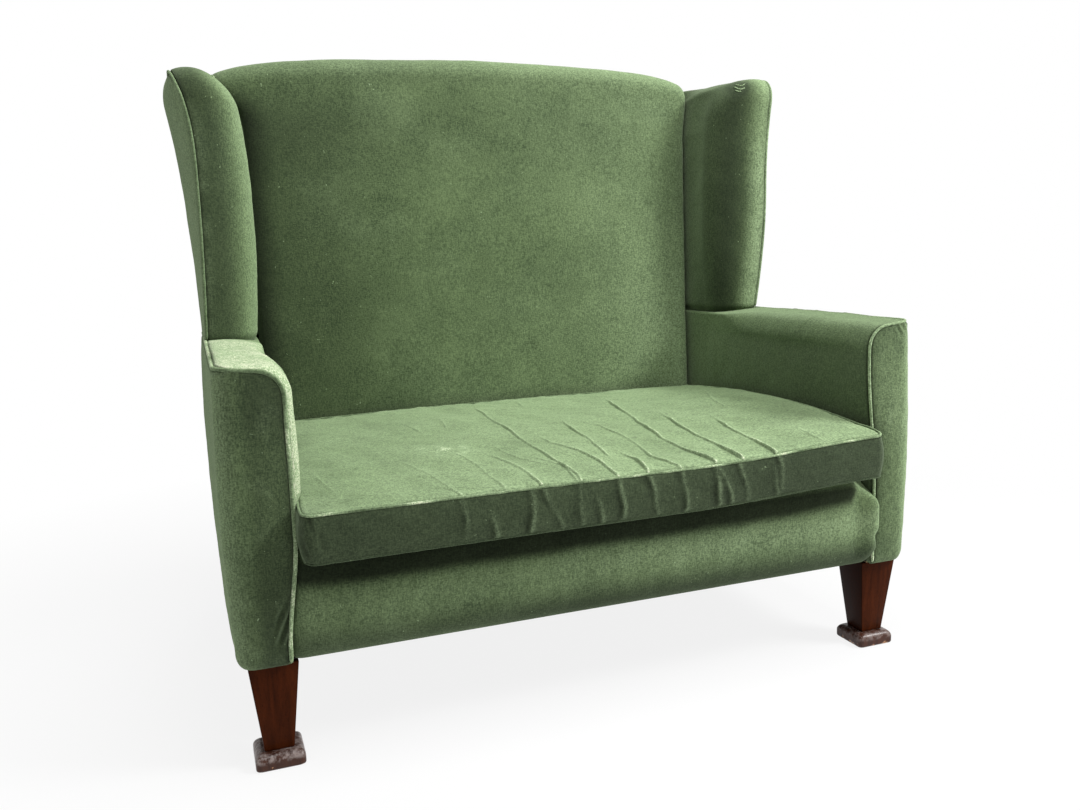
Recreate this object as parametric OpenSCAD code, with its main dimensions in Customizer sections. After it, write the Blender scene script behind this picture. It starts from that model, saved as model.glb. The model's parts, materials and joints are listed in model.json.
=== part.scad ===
// High back settee with wings, low square arms, a loose seat cushion and tapered legs on foot blocks.
// Origin at the floor under the middle of the settee; X to the sitter's left, Y to the rear, Z up.
// Left and right in the names are as seen from the front.
// Inside the modules y is measured back from the arm fronts, and placed() moves it to the origin.

/* [Overall] */
// Width across the outside arm panels
outer_w = 1300; // [1260:5:1400]
// Height of the arms at their outer top edge
arm_h = 670; // [650:1:690]
// Height of the middle of the crest
crest_h = 1272; // [1250:1:1300]
// How far the wings' front corners lie under the middle of the crest
wing_down = 57; // [42:1:67]
// Height of the lower edge of the covers
skirt_h = 181; // [170:1:190]
// Depth from the arm fronts to the outside back
body_d = 810; // [800:1:850]

/* [Arms] */
// Thickness of an arm at its top front
arm_w = 107; // [100:1:115]
// How much thicker the arm front is kept at the top than at the bottom
arm_taper = 17; // [10:1:22]
// How far the arm's top falls towards the seat
arm_fall = 10; // [4:1:14]
// Radius of the arm's inner top corner
arm_round = 38; // [30:1:42]
// Radius of the upright outer front corner
arm_corner_r = 30; // [20:1:36]
// How far the inside of an arm swells between its edges
arm_swell = 8; // [2:1:9]

/* [Wings] */
// Distance from the arm fronts to the wing fronts
wing_y = 530; // [510:1:545]
// Radius of the padded roll round a wing's front and top
wing_roll = 60; // [50:1:64]
// Radius of the wing's top front corner, seen from the side
wing_corner_r = 50; // [40:1:58]
// How far the wing leans outward at its top front
wing_flare = 22; // [12:1:28]
// How far the outside wing panel swells near its top
wing_swell = 19; // [10:1:22]

/* [Back] */
// Thickness of the settee's side beside the inside back, at the seat
back_side_w = 116; // [115:1:120]
// Distance from the arm fronts to the inside back at the seat
back_y = 678; // [676:1:690]
// How far the inside back leans to the rear over its height
back_lean = 19; // [8:1:24]
// How far the inside back swells forward
back_swell = 7; // [2:1:8]
// Radius of the roll along the crest
crest_roll = 45; // [35:1:50]
// How far the crest falls evenly towards its ends
crest_fall = 22; // [12:1:26]
// How much more the crest drops at its shoulders
shoulder_fall = 28; // [16:1:32]

/* [Seat] */
// Height of the covered deck under the cushion
deck_h = 372; // [366:1:376]
// Radius of the deck's front edge
deck_round = 32; // [24:1:40]
// Thickness of the padding over the springs
seat_pad = 46; // [46:1:54]

/* [Cushion] */
// Gap between the cushion and the thickest part of each arm front
cushion_gap = 6; // [3:1:13]
// How much narrower each side is at the rear
cushion_taper = 16; // [14:1:20]
// How far the cushion stands out in front of the arms
cushion_front = 55; // [40:1:60]
// Distance from the arm fronts to the cushion's rear
cushion_rear = 668; // [650:1:669]
// Height of the cushion's boxing at the front
boxing_h = 79; // [70:1:90]
// How much higher the rear top edge is than the front one
cushion_rise = 18; // [8:1:24]
// Height of the crown in the middle of the cushion
cushion_crown = 16; // [8:1:22]
// How far the long sides pull in between the corners
cushion_draw = 4; // [2:1:8]

/* [Legs] */
// Side of a front leg at its top
leg_top = 81; // [74:1:84]
// Side of a front leg at its foot
leg_foot = 46; // [40:1:54]
// Side of a foot block
foot_w = 75; // [68:1:84]
// Height of a foot block
foot_h = 27.5; // [22:0.5:32]
// Radius of the foot block's rounded upper edge
foot_round = 8; // [5:0.5:10]
// Side of a rear leg at its foot
rear_foot = 32; // [28:1:38]
// How far a rear leg rakes back over its height
rear_rake = 42; // [30:1:50]

/* [Frame] */
// Thickness of the seat rails
rail_t = 28; // [24:1:32]
// How far the tops of the seat rails lie under the deck
rail_down = 80; // [80:1:90]
// Width of the arm posts
arm_post_w = 70; // [64:1:76]
// Depth of the arm posts
arm_post_t = 45; // [40:1:50]
// Width of the back posts
back_post_w = 40; // [36:1:44]
// Depth of the back posts
back_post_t = 50; // [46:1:54]
// Thickness of the crest rail and of the lower back rail
crest_t = 34; // [28:1:38]
// Radius of a dowel
dowel_r = 5; // [4:0.5:6]

/* [Cloth and padding] */
// Thickness of the velvet and its backing
cloth_t = 2.5; // [1.5:0.5:3]
// Radius of the piping
piping_r = 3.5; // [3:0.25:4]
// How far the piping stands out of the covers
piping_out = 1.5; // [1:0.25:2]
// Gap between one layer and the next
slip = 0.4; // [0.3:0.05:0.5]
// Thickness of the padding on the inside of a wing
wing_pad = 16; // [12:1:16]
// Width of the jute webbing
web_w = 50; // [40:1:60]
// Thickness of the jute webbing
web_t = 2; // [1.5:0.25:2.5]

/* [Hidden] */

// Overall places that several pieces share
half_w = outer_w / 2;
wing_h = crest_h - wing_down;
side_pad = 14;
front_pad = 17;
rear_pad = 6;
frame_x = half_w - side_pad;
frame_y = front_pad;
frame_back = body_d - rear_pad;
back_post_y = frame_back - back_post_t;
back_rail_in = 2;
back_rail_y = frame_back - back_rail_in - rail_t;
rail_lift = 11;
rail_z = skirt_h + rail_lift;
rail_h = deck_h - rail_down - rail_z;
leg_lift = 2;
leg_z = skirt_h + leg_lift;
spigot_r = 14;
spigot_slip = 0.2;
seam_in = 2 * piping_r - piping_out + slip;
piping_in = piping_r - piping_out;
layer = cloth_t + slip;
cover_back = body_d - cloth_t - slip;
overrun = 1;
piping_sides = 6;

// Arm sizes
face_x = half_w - arm_w;
back_half = half_w - back_side_w;
cushion_half = face_x - cushion_gap;
arm_low_h = 300;
arm_rail_t = 25;
arm_rail_w = 60;
arm_top_pad = 12;
arm_rail_z = arm_h - arm_fall - arm_top_pad - arm_rail_t;
arm_rear_round = 6;
arm_rear_clear = 4;
arm_rear_x = back_half + arm_rear_clear;
arm_cover_short = 70;
arm_cover_end = body_d - arm_cover_short;
arm_round_run = 30;
tack_up = 14;
tack_z = deck_h + tack_up;
tack_h = 40;
tack_t = 25;

// Wing sizes
wing_foot_in = 4;
wing_waist = 6;
wing_lean_rear = 24;
wing_swell_foot = 2;
wing_thick = 106;
wing_inner_foot = half_w - wing_thick;
wing_inner_waist = 16;
wing_inner_flare = 34;
wing_post_w = 34;
wing_post_t = 38;
wing_post_in = 32;
wing_rail_h = 30;
wing_rail_down = 42;
wing_side_down = 15;
wing_seam_gap = 4;
crest_clear = 1.5;
waist_share = 0.84;
flare_share = 0.6;
inner_waist_share = 0.4;
inner_flare_share = 0.55;
panel_shoulder_share = 0.94;

// Back sizes
back_flare = 14;
back_flare_down = 172;
back_flare_run = 130;
back_low_up = 8;
back_low_h = deck_h + back_low_up;
back_top_half = back_half + back_flare;
crest_down = 19;
crest_rail_h = 90;
lower_rail_up = 28;
lower_rail_z = deck_h + lower_rail_up;
lower_rail_h = 50;
stile_w = 50;
back_edge_round = 16;
crest_front = frame_back - crest_t;
back_web_in = 4;
back_edge_share = 0.96;

// Seat sizes
deck_short = 4;
deck_end = back_post_y - deck_short;
border_deep = 60;
border_over = 1;
hessian_in = 4;
hessian_t = 1.5;
spring_r = 42;
spring_waist = 28;
wire_r = 2;
spring_turns = 4;
spring_steps = 8;
wire_sides = 5;
spring_columns = 4;
spring_rows = 3;
web_mid_z = rail_z - web_t / 2 - slip;
web_step = (web_t + slip) / 2;
spring_foot = rail_z + web_step + slip;
hessian_z = deck_h - seat_pad;
spring_h = hessian_z - slip - spring_foot;
hessian_slope = 36;
dust_t = 1.5;
block_leg = 85;
block_share = 0.6;
block_h = rail_h * block_share;
screw_r = 2.5;
screw_head_r = 5;
screw_in = 22;
bore_slip = 0.1;
dowel_l = 50;

// The piping on the lower front of the cushion reaches furthest forward, and a rear leg furthest back
reach_front = cushion_front + piping_out;
rear_leg_in = 4;
reach_back = frame_back + rear_rake - rear_leg_in;
mid_y = (reach_back - reach_front) / 2;

velvet = [0.30, 0.42, 0.24];
velvet_light = [0.48, 0.58, 0.38];
mahogany = [0.20, 0.08, 0.05];
scuffed = [0.32, 0.24, 0.20];
beech = [0.76, 0.60, 0.42];
jute = [0.62, 0.52, 0.36];
hair = [0.52, 0.44, 0.34];
steel = [0.55, 0.55, 0.56];
black_cloth = [0.10, 0.10, 0.11];

// Shared functions

function mix(a, b, t) = a + (b - a) * t;
function limit(v, low, high) = max(low, min(high, v));
function arc(centre, r, from, to, steps) =
    [for (i = [0 : steps]) let (a = mix(from, to, i / steps)) centre + r * [cos(a), sin(a)]];
function reversed(list) = [for (i = [len(list) - 1 : -1 : 0]) list[i]];
function flat_list(lists) = [for (l = lists) for (p = l) p];
function unit(v) = v / norm(v);

// Two triangles for one cell of a grid of points
function cell(a, b, c, d) = [[a, b, c], [a, c, d]];

// A closed solid between two grids of points. Seen from outside the front grid,
// rows go up and columns go to the right.
module slab(front, back) {
    rows = len(front);
    columns = len(front[0]);
    count = rows * columns;
    function f(i, j) = i * columns + j;
    function b(i, j) = count + f(i, j);
    top = rows - 1;
    right = columns - 1;
    front_faces = [for (i = [0 : top - 1]) for (j = [0 : right - 1])
        each cell(f(i, j), f(i + 1, j), f(i + 1, j + 1), f(i, j + 1))];
    back_faces = [for (i = [0 : top - 1]) for (j = [0 : right - 1])
        each cell(b(i, j), b(i, j + 1), b(i + 1, j + 1), b(i + 1, j))];
    left_faces = [for (i = [0 : top - 1])
        each cell(b(i, 0), b(i + 1, 0), f(i + 1, 0), f(i, 0))];
    right_faces = [for (i = [0 : top - 1])
        each cell(f(i, right), f(i + 1, right), b(i + 1, right), b(i, right))];
    top_faces = [for (j = [0 : right - 1])
        each cell(f(top, j), b(top, j), b(top, j + 1), f(top, j + 1))];
    bottom_faces = [for (j = [0 : right - 1])
        each cell(f(0, j + 1), b(0, j + 1), b(0, j), f(0, j))];
    polyhedron(
        points = concat(flat_list(front), flat_list(back)),
        faces = concat(front_faces, back_faces, left_faces, right_faces, top_faces, bottom_faces),
        convexity = 6);
}

// A tube along a path. The reference direction never runs along the path.
function tube_ring(path, i, r, sides, reference, closed) =
    let (
        n = len(path),
        before = path[closed ? (i + n - 1) % n : max(i - 1, 0)],
        after = path[closed ? (i + 1) % n : min(i + 1, n - 1)],
        along = unit(after - before),
        side = unit(cross(along, reference)),
        up = cross(side, along)
    )
    [for (k = [0 : sides - 1]) let (a = 360 * k / sides) path[i] + r * (cos(a) * side + sin(a) * up)];

module tube(path, r, sides, reference, closed = false) {
    n = len(path);
    points = [for (i = [0 : n - 1]) each tube_ring(path, i, r, sides, reference, closed)];
    function p(i, k) = (i % n) * sides + k % sides;
    wall = [for (i = [0 : (closed ? n - 1 : n - 2)]) for (k = [0 : sides - 1])
        each cell(p(i, k), p(i, k + 1), p(i + 1, k + 1), p(i + 1, k))];
    caps = closed ? [] : [[for (k = [sides - 1 : -1 : 0]) p(0, k)], [for (k = [0 : sides - 1]) p(n - 1, k)]];
    polyhedron(points = points, faces = concat(wall, caps), convexity = 8);
}

// A closed solid from level rings, the highest first, with a point above and one below.
// Each ring runs counter-clockwise seen from above.
module stacked(rings, top, bottom) {
    n = len(rings[0]);
    levels = len(rings);
    function p(i, k) = i * n + k % n;
    above = levels * n;
    below = above + 1;
    faces = concat(
        [for (i = [0 : levels - 2]) for (k = [0 : n - 1])
            each cell(p(i + 1, k), p(i, k), p(i, k + 1), p(i + 1, k + 1))],
        [for (k = [0 : n - 1]) [above, p(0, k + 1), p(0, k)]],
        [for (k = [0 : n - 1]) [below, p(levels - 1, k), p(levels - 1, k + 1)]]);
    polyhedron(points = concat(flat_list(rings), [top, bottom]), faces = faces, convexity = 4);
}

module placed() translate([0, -mid_y, 0]) children();
module left_side() mirror([1, 0, 0]) children();

// A box given by its low and high corners
module box(low, high) translate(low) cube(high - low);

// A side profile of [y, z] points, extruded along x
module along_x(x0, x1) translate([x0, 0, 0]) rotate([90, 0, 90]) linear_extrude(x1 - x0) children();

// A front profile of [x, z] points, extruded along y
module along_y(y0, y1) translate([0, y1, 0]) rotate([90, 0, 0]) linear_extrude(y1 - y0) children();

// A plan of [x, y] points, extruded along z
module along_z(z0, z1) translate([0, 0, z0]) linear_extrude(z1 - z0) children();

// Dowels: each site has a middle and the axis that the dowel lies along

function dowel_pair(x, y, z, pitch) = [[x, y, z - pitch / 2], [x, y, z + pitch / 2]];
dowel_pitch = rail_h / 2;
seat_dowel_z = rail_z + rail_h / 2;
arm_inner_x = frame_x - arm_post_w;
back_inner_x = frame_x - back_post_w;
front_dowels = dowel_pair(arm_inner_x, frame_y + rail_t / 2, seat_dowel_z, dowel_pitch);
rear_dowels = dowel_pair(back_inner_x, back_rail_y + rail_t / 2, seat_dowel_z, dowel_pitch);
crest_dowel_z = crest_h - crest_fall - shoulder_fall - crest_down - crest_rail_h / 2;
crest_dowels = dowel_pair(back_inner_x, frame_back - crest_t / 2, crest_dowel_z, dowel_pitch / 2);
lower_dowels = dowel_pair(back_inner_x, frame_back - crest_t / 2,
    lower_rail_z + lower_rail_h / 2, lower_rail_h / 2);
x_dowels = concat(front_dowels, rear_dowels, crest_dowels, lower_dowels);
side_x = frame_x - rail_t / 2;
arm_post_back = frame_y + arm_post_t;
y_dowels = concat(
    dowel_pair(side_x, arm_post_back, seat_dowel_z, dowel_pitch),
    dowel_pair(side_x, back_post_y, seat_dowel_z, dowel_pitch));

module dowel_set(r, l) {
    for (p = x_dowels) translate(p) rotate([0, 90, 0]) cylinder(r = r, h = l, center = true, $fn = 32);
    for (p = y_dowels) translate(p) rotate([90, 0, 0]) cylinder(r = r, h = l, center = true, $fn = 32);
}

module dowel_bores() dowel_set(dowel_r + bore_slip, dowel_l + 2 * slip);
module both_sides() {
    children();
    left_side() children();
}

module frame_dowels() color(beech) placed() both_sides() dowel_set(dowel_r, dowel_l);

// Seat frame

module front_rail() color(beech) placed() difference() {
    box([-arm_inner_x, frame_y, rail_z], [arm_inner_x, frame_y + rail_t, rail_z + rail_h]);
    both_sides() dowel_bores();
    both_sides() screw_bores();
}

module back_rail() color(beech) placed() difference() {
    box([-back_inner_x, back_rail_y, rail_z], [back_inner_x, back_rail_y + rail_t, rail_z + rail_h]);
    both_sides() dowel_bores();
    both_sides() screw_bores();
}

module side_rail() placed() difference() {
    box([frame_x - rail_t, arm_post_back, rail_z], [frame_x, back_post_y, rail_z + rail_h]);
    dowel_bores();
    screw_bores();
}
module side_rail_right() color(beech) side_rail();
module side_rail_left() color(beech) left_side() side_rail();

// Triangular blocks, notched round the posts, stiffen the corners from inside

rail_face = frame_y + rail_t;
side_face = frame_x - rail_t;
block_z = rail_z + (rail_h - block_h) / 2;
block_front_plan = [
    [arm_inner_x - block_leg, rail_face + slip], [arm_inner_x - slip, rail_face + slip],
    [arm_inner_x - slip, arm_post_back + slip], [side_face - slip, arm_post_back + slip],
    [side_face - slip, arm_post_back + block_leg]];
block_rear_plan = [
    [back_inner_x - block_leg, back_rail_y - slip], [back_inner_x - slip, back_rail_y - slip],
    [back_inner_x - slip, back_post_y - slip], [side_face - slip, back_post_y - slip],
    [side_face - slip, back_post_y - block_leg]];
screw_l = block_leg / 4 + screw_in;
screw_share = 0.72;
screw_mid_z = block_z + block_h / 2;
// The side screws sit lower than the others, so that no two meet
screw_low_z = screw_mid_z - block_h / 4;
// Each site has its place and the angle that the screw turns from +x
screw_sites = [
    [arm_inner_x - block_leg * screw_share, rail_face + screw_l - screw_in, screw_mid_z, -90],
    [back_inner_x - block_leg * screw_share, back_rail_y - screw_l + screw_in, screw_mid_z, 90],
    [side_face - screw_l + screw_in, arm_post_back + block_leg * screw_share, screw_low_z, 0],
    [side_face - screw_l + screw_in, back_post_y - block_leg * screw_share, screw_low_z, 0]];

// A screw pointing along +x, with its head behind the origin
module screw(r, head_r, l) {
    rotate([0, 90, 0]) cylinder(r = r, h = l, $fn = 24);
    translate([-head_r, 0, 0]) rotate([0, 90, 0]) cylinder(r = head_r, h = head_r, $fn = 24);
}

module screw_set(grow, long)
    for (s = screw_sites)
        translate([s[0], s[1], s[2]]) rotate([0, 0, s[3]])
            screw(screw_r + grow, screw_head_r + grow, screw_l + long);
module screw_bores() screw_set(bore_slip, slip);

module corner_blocks() color(beech) placed() both_sides() difference() {
    along_z(block_z, block_z + block_h) {
        polygon(block_front_plan);
        polygon(block_rear_plan);
    }
    screw_bores();
}

module block_screws() color(steel) placed() both_sides() screw_set(0, 0);

// Arms: frame

module arm_post() placed() difference() {
    box([arm_inner_x, frame_y, leg_z], [frame_x, arm_post_back, arm_rail_z]);
    dowel_bores();
    leg_spigot(spigot_slip);
}
module arm_post_right() color(beech) arm_post();
module arm_post_left() color(beech) left_side() arm_post();

module arm_rail() placed()
    box([frame_x - arm_rail_w, frame_y, arm_rail_z], [frame_x, back_post_y, arm_rail_z + arm_rail_t]);
module arm_rail_right() color(beech) arm_rail();
module arm_rail_left() color(beech) left_side() arm_rail();

module arm_tack_rail() placed()
    box([frame_x - tack_t, arm_post_back, tack_z], [frame_x, back_post_y, tack_z + tack_h]);
module arm_tack_rail_right() color(beech) arm_tack_rail();
module arm_tack_rail_left() color(beech) left_side() arm_tack_rail();

// Legs

leg_mid_x = frame_x - leg_top / 2;
leg_mid_y = frame_y + leg_top / 2;
spigot_y = frame_y + arm_post_t / 2;
// The spigots end under the lower dowels
spigot_under = 2;
spigot_h = seat_dowel_z - dowel_pitch / 2 - dowel_r - spigot_under - leg_z;

module leg_spigot(grow) translate([leg_mid_x, spigot_y, leg_z - overrun])
    cylinder(r = spigot_r + grow, h = spigot_h + overrun + grow, $fn = 48);

module front_leg() placed() {
    intersection() {
        along_x(leg_mid_x - leg_top, leg_mid_x + leg_top) polygon([
            [leg_mid_y - leg_foot / 2, foot_h], [leg_mid_y + leg_foot / 2, foot_h],
            [leg_mid_y + leg_top / 2, leg_z], [leg_mid_y - leg_top / 2, leg_z]]);
        along_y(leg_mid_y - leg_top, leg_mid_y + leg_top) polygon([
            [leg_mid_x - leg_foot / 2, foot_h], [leg_mid_x + leg_foot / 2, foot_h],
            [leg_mid_x + leg_top / 2, leg_z], [leg_mid_x - leg_top / 2, leg_z]]);
    }
    leg_spigot(0);
}
module front_leg_right() color(mahogany) front_leg();
module front_leg_left() color(mahogany) left_side() front_leg();

// The foot block's edges are rounded over at the top and eased at the bottom
foot_ease_share = 0.5;
module foot_profile(middle) {
    half = foot_w / 2;
    ease = foot_round * foot_ease_share;
    translate([middle, 0]) union() {
        translate([-half, ease]) square([foot_w, foot_h - foot_round - ease]);
        translate([-half + ease, 0]) square([foot_w - 2 * ease, ease + overrun]);
        translate([-half + foot_round, foot_h - foot_round - overrun])
            square([foot_w - 2 * foot_round, foot_round + overrun]);
        for (s = [-1, 1]) {
            translate([s * (half - foot_round), foot_h - foot_round]) circle(r = foot_round, $fn = 48);
            translate([s * (half - ease), ease]) circle(r = ease, $fn = 48);
        }
    }
}
module front_foot() placed() intersection() {
    along_x(leg_mid_x - foot_w, leg_mid_x + foot_w) foot_profile(leg_mid_y);
    along_y(leg_mid_y - foot_w, leg_mid_y + foot_w) foot_profile(leg_mid_x);
}
module front_foot_right() color(scuffed) front_foot();
module front_foot_left() color(scuffed) left_side() front_foot();

rear_spigot_x = frame_x - back_post_w / 2;
rear_spigot_y = frame_back - back_post_t / 2;
module rear_spigot(grow) translate([rear_spigot_x, rear_spigot_y, leg_z - overrun])
    cylinder(r = spigot_r + grow, h = spigot_h + overrun + grow, $fn = 48);

module rear_leg() placed() {
    heel = frame_back + rear_rake - rear_leg_in;
    intersection() {
        along_x(frame_x - leg_top, frame_x + leg_top) polygon([
            [heel - rear_foot, 0], [heel, 0], [frame_back, leg_z], [back_post_y, leg_z]]);
        along_y(back_post_y - overrun, heel + overrun) polygon([
            [rear_spigot_x - rear_foot / 2, 0], [rear_spigot_x + rear_foot / 2, 0],
            [frame_x, leg_z], [back_inner_x, leg_z]]);
    }
    rear_spigot(0);
}
module rear_leg_right() color(mahogany) rear_leg();
module rear_leg_left() color(mahogany) left_side() rear_leg();

// Back: frame

function crest(x) =
    let (s = limit(abs(x) / back_top_half, 0, 1))
    crest_h - crest_fall * pow(s, 2) - shoulder_fall * pow(s, 8);
wing_rear_h = crest(back_top_half);
back_post_top = wing_rear_h - crest_down - slip;

module back_post() placed() difference() {
    box([back_inner_x, back_post_y, leg_z], [frame_x, frame_back, back_post_top]);
    dowel_bores();
    rear_spigot(spigot_slip);
}
module back_post_right() color(beech) back_post();
module back_post_left() color(beech) left_side() back_post();

// The back's columns stand at these shares of its half width, from one side to the other
back_column_shares = [-1, -0.988, -0.96, -0.85, -0.6, -0.3, 0, 0.3, 0.6, 0.85, 0.96, 0.988, 1];
crest_xs = [for (s = back_column_shares) s * (back_top_half - slip)];
crest_rail_z = wing_rear_h - crest_down - crest_rail_h;
module crest_rail() color(beech) placed() difference() {
    along_y(crest_front, frame_back) polygon(concat(
        [[back_inner_x, crest_rail_z], [back_inner_x, crest(back_inner_x) - crest_down - slip]],
        [for (x = reversed(crest_xs)) [x, crest(x) - crest_down - slip]],
        [[-back_inner_x, crest(back_inner_x) - crest_down - slip], [-back_inner_x, crest_rail_z]]));
    both_sides() dowel_bores();
}

module lower_back_rail() color(beech) placed() difference() {
    box([-back_inner_x, crest_front, lower_rail_z],
        [back_inner_x, frame_back, lower_rail_z + lower_rail_h]);
    both_sides() dowel_bores();
}

module back_stile() color(beech) placed()
    box([-stile_w / 2, crest_front, lower_rail_z + lower_rail_h], [stile_w / 2, frame_back, crest_rail_z]);

// Wings: the shape that frame, padding and covers follow

// Height share of a point on the wing: 0 at the arm, 1 at the wing's top
function wing_t(z) = limit((z - arm_h) / (wing_h - arm_h), 0, 1);

// The outer front edge, where the piping runs
function wing_edge_x(z) =
    let (t = wing_t(z))
    half_w - wing_foot_in - wing_waist * sin(180 * min(1, t / waist_share))
    + wing_flare * pow(max(0, (t - flare_share) / (1 - flare_share)), 2);
function wing_rear_x(z) = half_w + wing_lean_rear * wing_t(z);

// The innermost line of the padded roll, and the seam with the inside back
function wing_inner_x(z) =
    let (t = wing_t(z))
    wing_inner_foot - wing_inner_waist * sin(90 * min(1, t / inner_waist_share))
    + wing_inner_flare * pow(max(0, (t - inner_flare_share) / (1 - inner_flare_share)), 1.8);
function back_half_at(z) =
    back_half + back_flare * limit((z - crest_h + back_flare_down) / back_flare_run, 0, 1);
function wing_seam_x(z) = back_half_at(z) + wing_seam_gap;
function wing_face_x(y, z) =
    let (s = limit((y - wing_y - wing_roll) / (back_y - wing_y - wing_roll), 0, 1))
    mix(wing_inner_x(z), wing_seam_x(z), s);

// The outer edge of a wing, from the arm up its front, round the corner and back along its top
wing_up_shares = [0, 0.06, 0.2, 0.4, 0.6, 0.78, 0.9];
wing_back_shares = [0.2, 0.45, 0.72, 0.92, 1];
wing_corner_steps = 4;
wing_top_y = wing_y + wing_corner_r;
wing_edge_yz = concat(
    [for (t = wing_up_shares) [wing_y, mix(arm_h, wing_h - wing_corner_r, t)]],
    [for (p = arc([wing_top_y, wing_h - wing_corner_r], wing_corner_r, 180, 90, wing_corner_steps)) p],
    [for (t = wing_back_shares) [mix(wing_top_y, cover_back, t), mix(wing_h, wing_rear_h, t)]]);
function wing_rim_x(y, z) =
    y > wing_top_y
    ? mix(wing_edge_x(wing_h), wing_rear_x(wing_h), (y - wing_top_y) / (cover_back - wing_top_y))
    : wing_edge_x(z);

// Where each line across the inside of the wing ends, behind the side of the inside back
// The last rows lie over the ends of the crest rail, and the padding stops in front of it.
wing_side_h = wing_h - wing_corner_r - wing_side_down;
wing_rows = len(wing_edge_yz);
wing_side_rows = len(wing_up_shares);
wing_over_rows = 2;
wing_pad_rows = wing_rows - wing_over_rows;
wing_over_h = wing_rear_h - crest_down + crest_clear;
function wing_end_yz(i) =
    i < wing_side_rows ? [arm_cover_end, min(wing_edge_yz[i][1], wing_side_h)]
    : i < wing_pad_rows
    ? let (t = (i - wing_side_rows + 1) / (wing_pad_rows - wing_side_rows))
        [mix(arm_cover_end, crest_front - crest_clear, t), wing_side_h]
    : [mix(crest_front - slip, cover_back, i - wing_pad_rows), wing_over_h];

// Height of the arm's top under the wing
function arm_top(x) = arm_h - arm_fall * limit((half_w - x) / arm_w, 0, 1);

wing_roll_steps = 5;
wing_face_shares = [0.35, 0.7, 1];
// Points across the inside of the wing at a depth, from the seam with the back to the outer edge
function wing_line(i, depth) =
    let (
        from = wing_edge_yz[i],
        to = wing_end_yz(i),
        length = norm(to - from),
        dir = (to - from) / length,
        roll = min(wing_roll, 0.8 * length),
        edge = wing_rim_x(from[0], from[1]) - seam_in,
        rolled = [for (k = [0 : wing_roll_steps])
            let (
                a = 90 * k / wing_roll_steps,
                q = depth + (roll - depth) * (1 - cos(a)),
                p = from + dir * q
            )
            [mix(edge, wing_face_x(p[0], p[1]) + depth, sin(a)), p[0], p[1]]],
        flat = [for (t = wing_face_shares)
            let (p = from + dir * mix(roll, length, t))
            [wing_face_x(p[0], p[1]) + depth, p[0], p[1]]]
    )
    reversed([for (p = concat(rolled, flat)) i == 0 ? [p[0], p[1], arm_top(p[0]) + slip] : p]);
function wing_grid(depth, rows) = [for (i = [0 : rows - 1]) wing_line(i, depth)];

module inside_wing_cover() placed() slab(wing_grid(0, wing_rows), wing_grid(cloth_t, wing_rows));
module inside_wing_cover_right() color(velvet) inside_wing_cover();
module inside_wing_cover_left() color(velvet) left_side() inside_wing_cover();

module wing_stuffing() placed()
    slab(wing_grid(layer, wing_pad_rows), wing_grid(layer + wing_pad, wing_pad_rows));
module wing_stuffing_right() color(hair) wing_stuffing();
module wing_stuffing_left() color(hair) left_side() wing_stuffing();

// The outside wing panel swells between its edges
wing_panel_shares = [0, 0.04, 0.09, 0.2, 0.38, 0.6, 0.82, 1];
wing_panel_rows = 8;
function wing_panel_top(y) =
    let (r = wing_corner_r - seam_in - piping_out)
    y < wing_top_y
    ? wing_h - wing_corner_r + sqrt(max(0, pow(r, 2) - pow(wing_top_y - y, 2)))
    : mix(wing_h, wing_rear_h, (y - wing_top_y) / (cover_back - wing_top_y)) - seam_in;
function wing_panel_x(y, z, top) =
    let (
        s = (y - wing_y) / (cover_back - wing_y),
        t = wing_t(z),
        near_top = limit((top - z) / (wing_corner_r / 2), 0, 1),
        base = mix(wing_edge_x(z), wing_rear_x(z), s),
        swell = (wing_swell_foot + wing_swell * t) * 4 * s * (1 - s)
    )
    base + swell * sqrt(near_top);
function wing_panel_grid(depth) =
    [for (i = [0 : wing_panel_rows])
        [for (s = wing_panel_shares)
            let (
                y = mix(wing_y + seam_in, cover_back, s),
                low = arm_h + slip,
                high = wing_panel_top(y),
                shoulder = i == wing_panel_rows - 1,
                z = mix(low, high, shoulder ? panel_shoulder_share : min(1, i / (wing_panel_rows - 1)))
            )
            [wing_panel_x(y, z, high) - depth, y, z]]];
module outside_wing_cover() placed() slab(wing_panel_grid(0), wing_panel_grid(cloth_t));
module outside_wing_cover_right() color(velvet) outside_wing_cover();
module outside_wing_cover_left() color(velvet) left_side() outside_wing_cover();

// The edge, moved in by the depth of the piping's middle
function piping_yz(i) =
    let (
        before = wing_edge_yz[max(i - 1, 0)],
        after = wing_edge_yz[min(i + 1, wing_rows - 1)],
        along = unit(after - before)
    )
    wing_edge_yz[i] + piping_in * [along[1], -along[0]];
wing_piping_path = [for (i = [0 : wing_rows - 1])
    let (p = piping_yz(i), e = wing_edge_yz[i])
    [wing_rim_x(e[0], e[1]) - piping_in, p[0], i == 0 ? arm_h + slip + piping_r : p[1]]];
module wing_piping() placed() tube(wing_piping_path, piping_r, piping_sides, [1, 0, 0]);
module wing_piping_right() color(velvet_light) wing_piping();
module wing_piping_left() color(velvet_light) left_side() wing_piping();

wing_post_y = wing_y + wing_post_in;
wing_rail_z = wing_h - wing_rail_down - wing_rail_h;
module wing_post_box(grow) box(
    [frame_x - wing_post_w - grow, wing_post_y - grow, arm_rail_z + arm_rail_t],
    [frame_x + grow, wing_post_y + wing_post_t + grow, wing_rail_z]);
module wing_post_right() color(beech) placed() wing_post_box(0);
module wing_post_left() color(beech) left_side() placed() wing_post_box(0);

module wing_rail() placed()
    box([frame_x - wing_post_w, wing_post_y, wing_rail_z], [frame_x, back_post_y, wing_rail_z + wing_rail_h]);
module wing_rail_right() color(beech) wing_rail();
module wing_rail_left() color(beech) left_side() wing_rail();

// Arms: padding and covers

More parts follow.
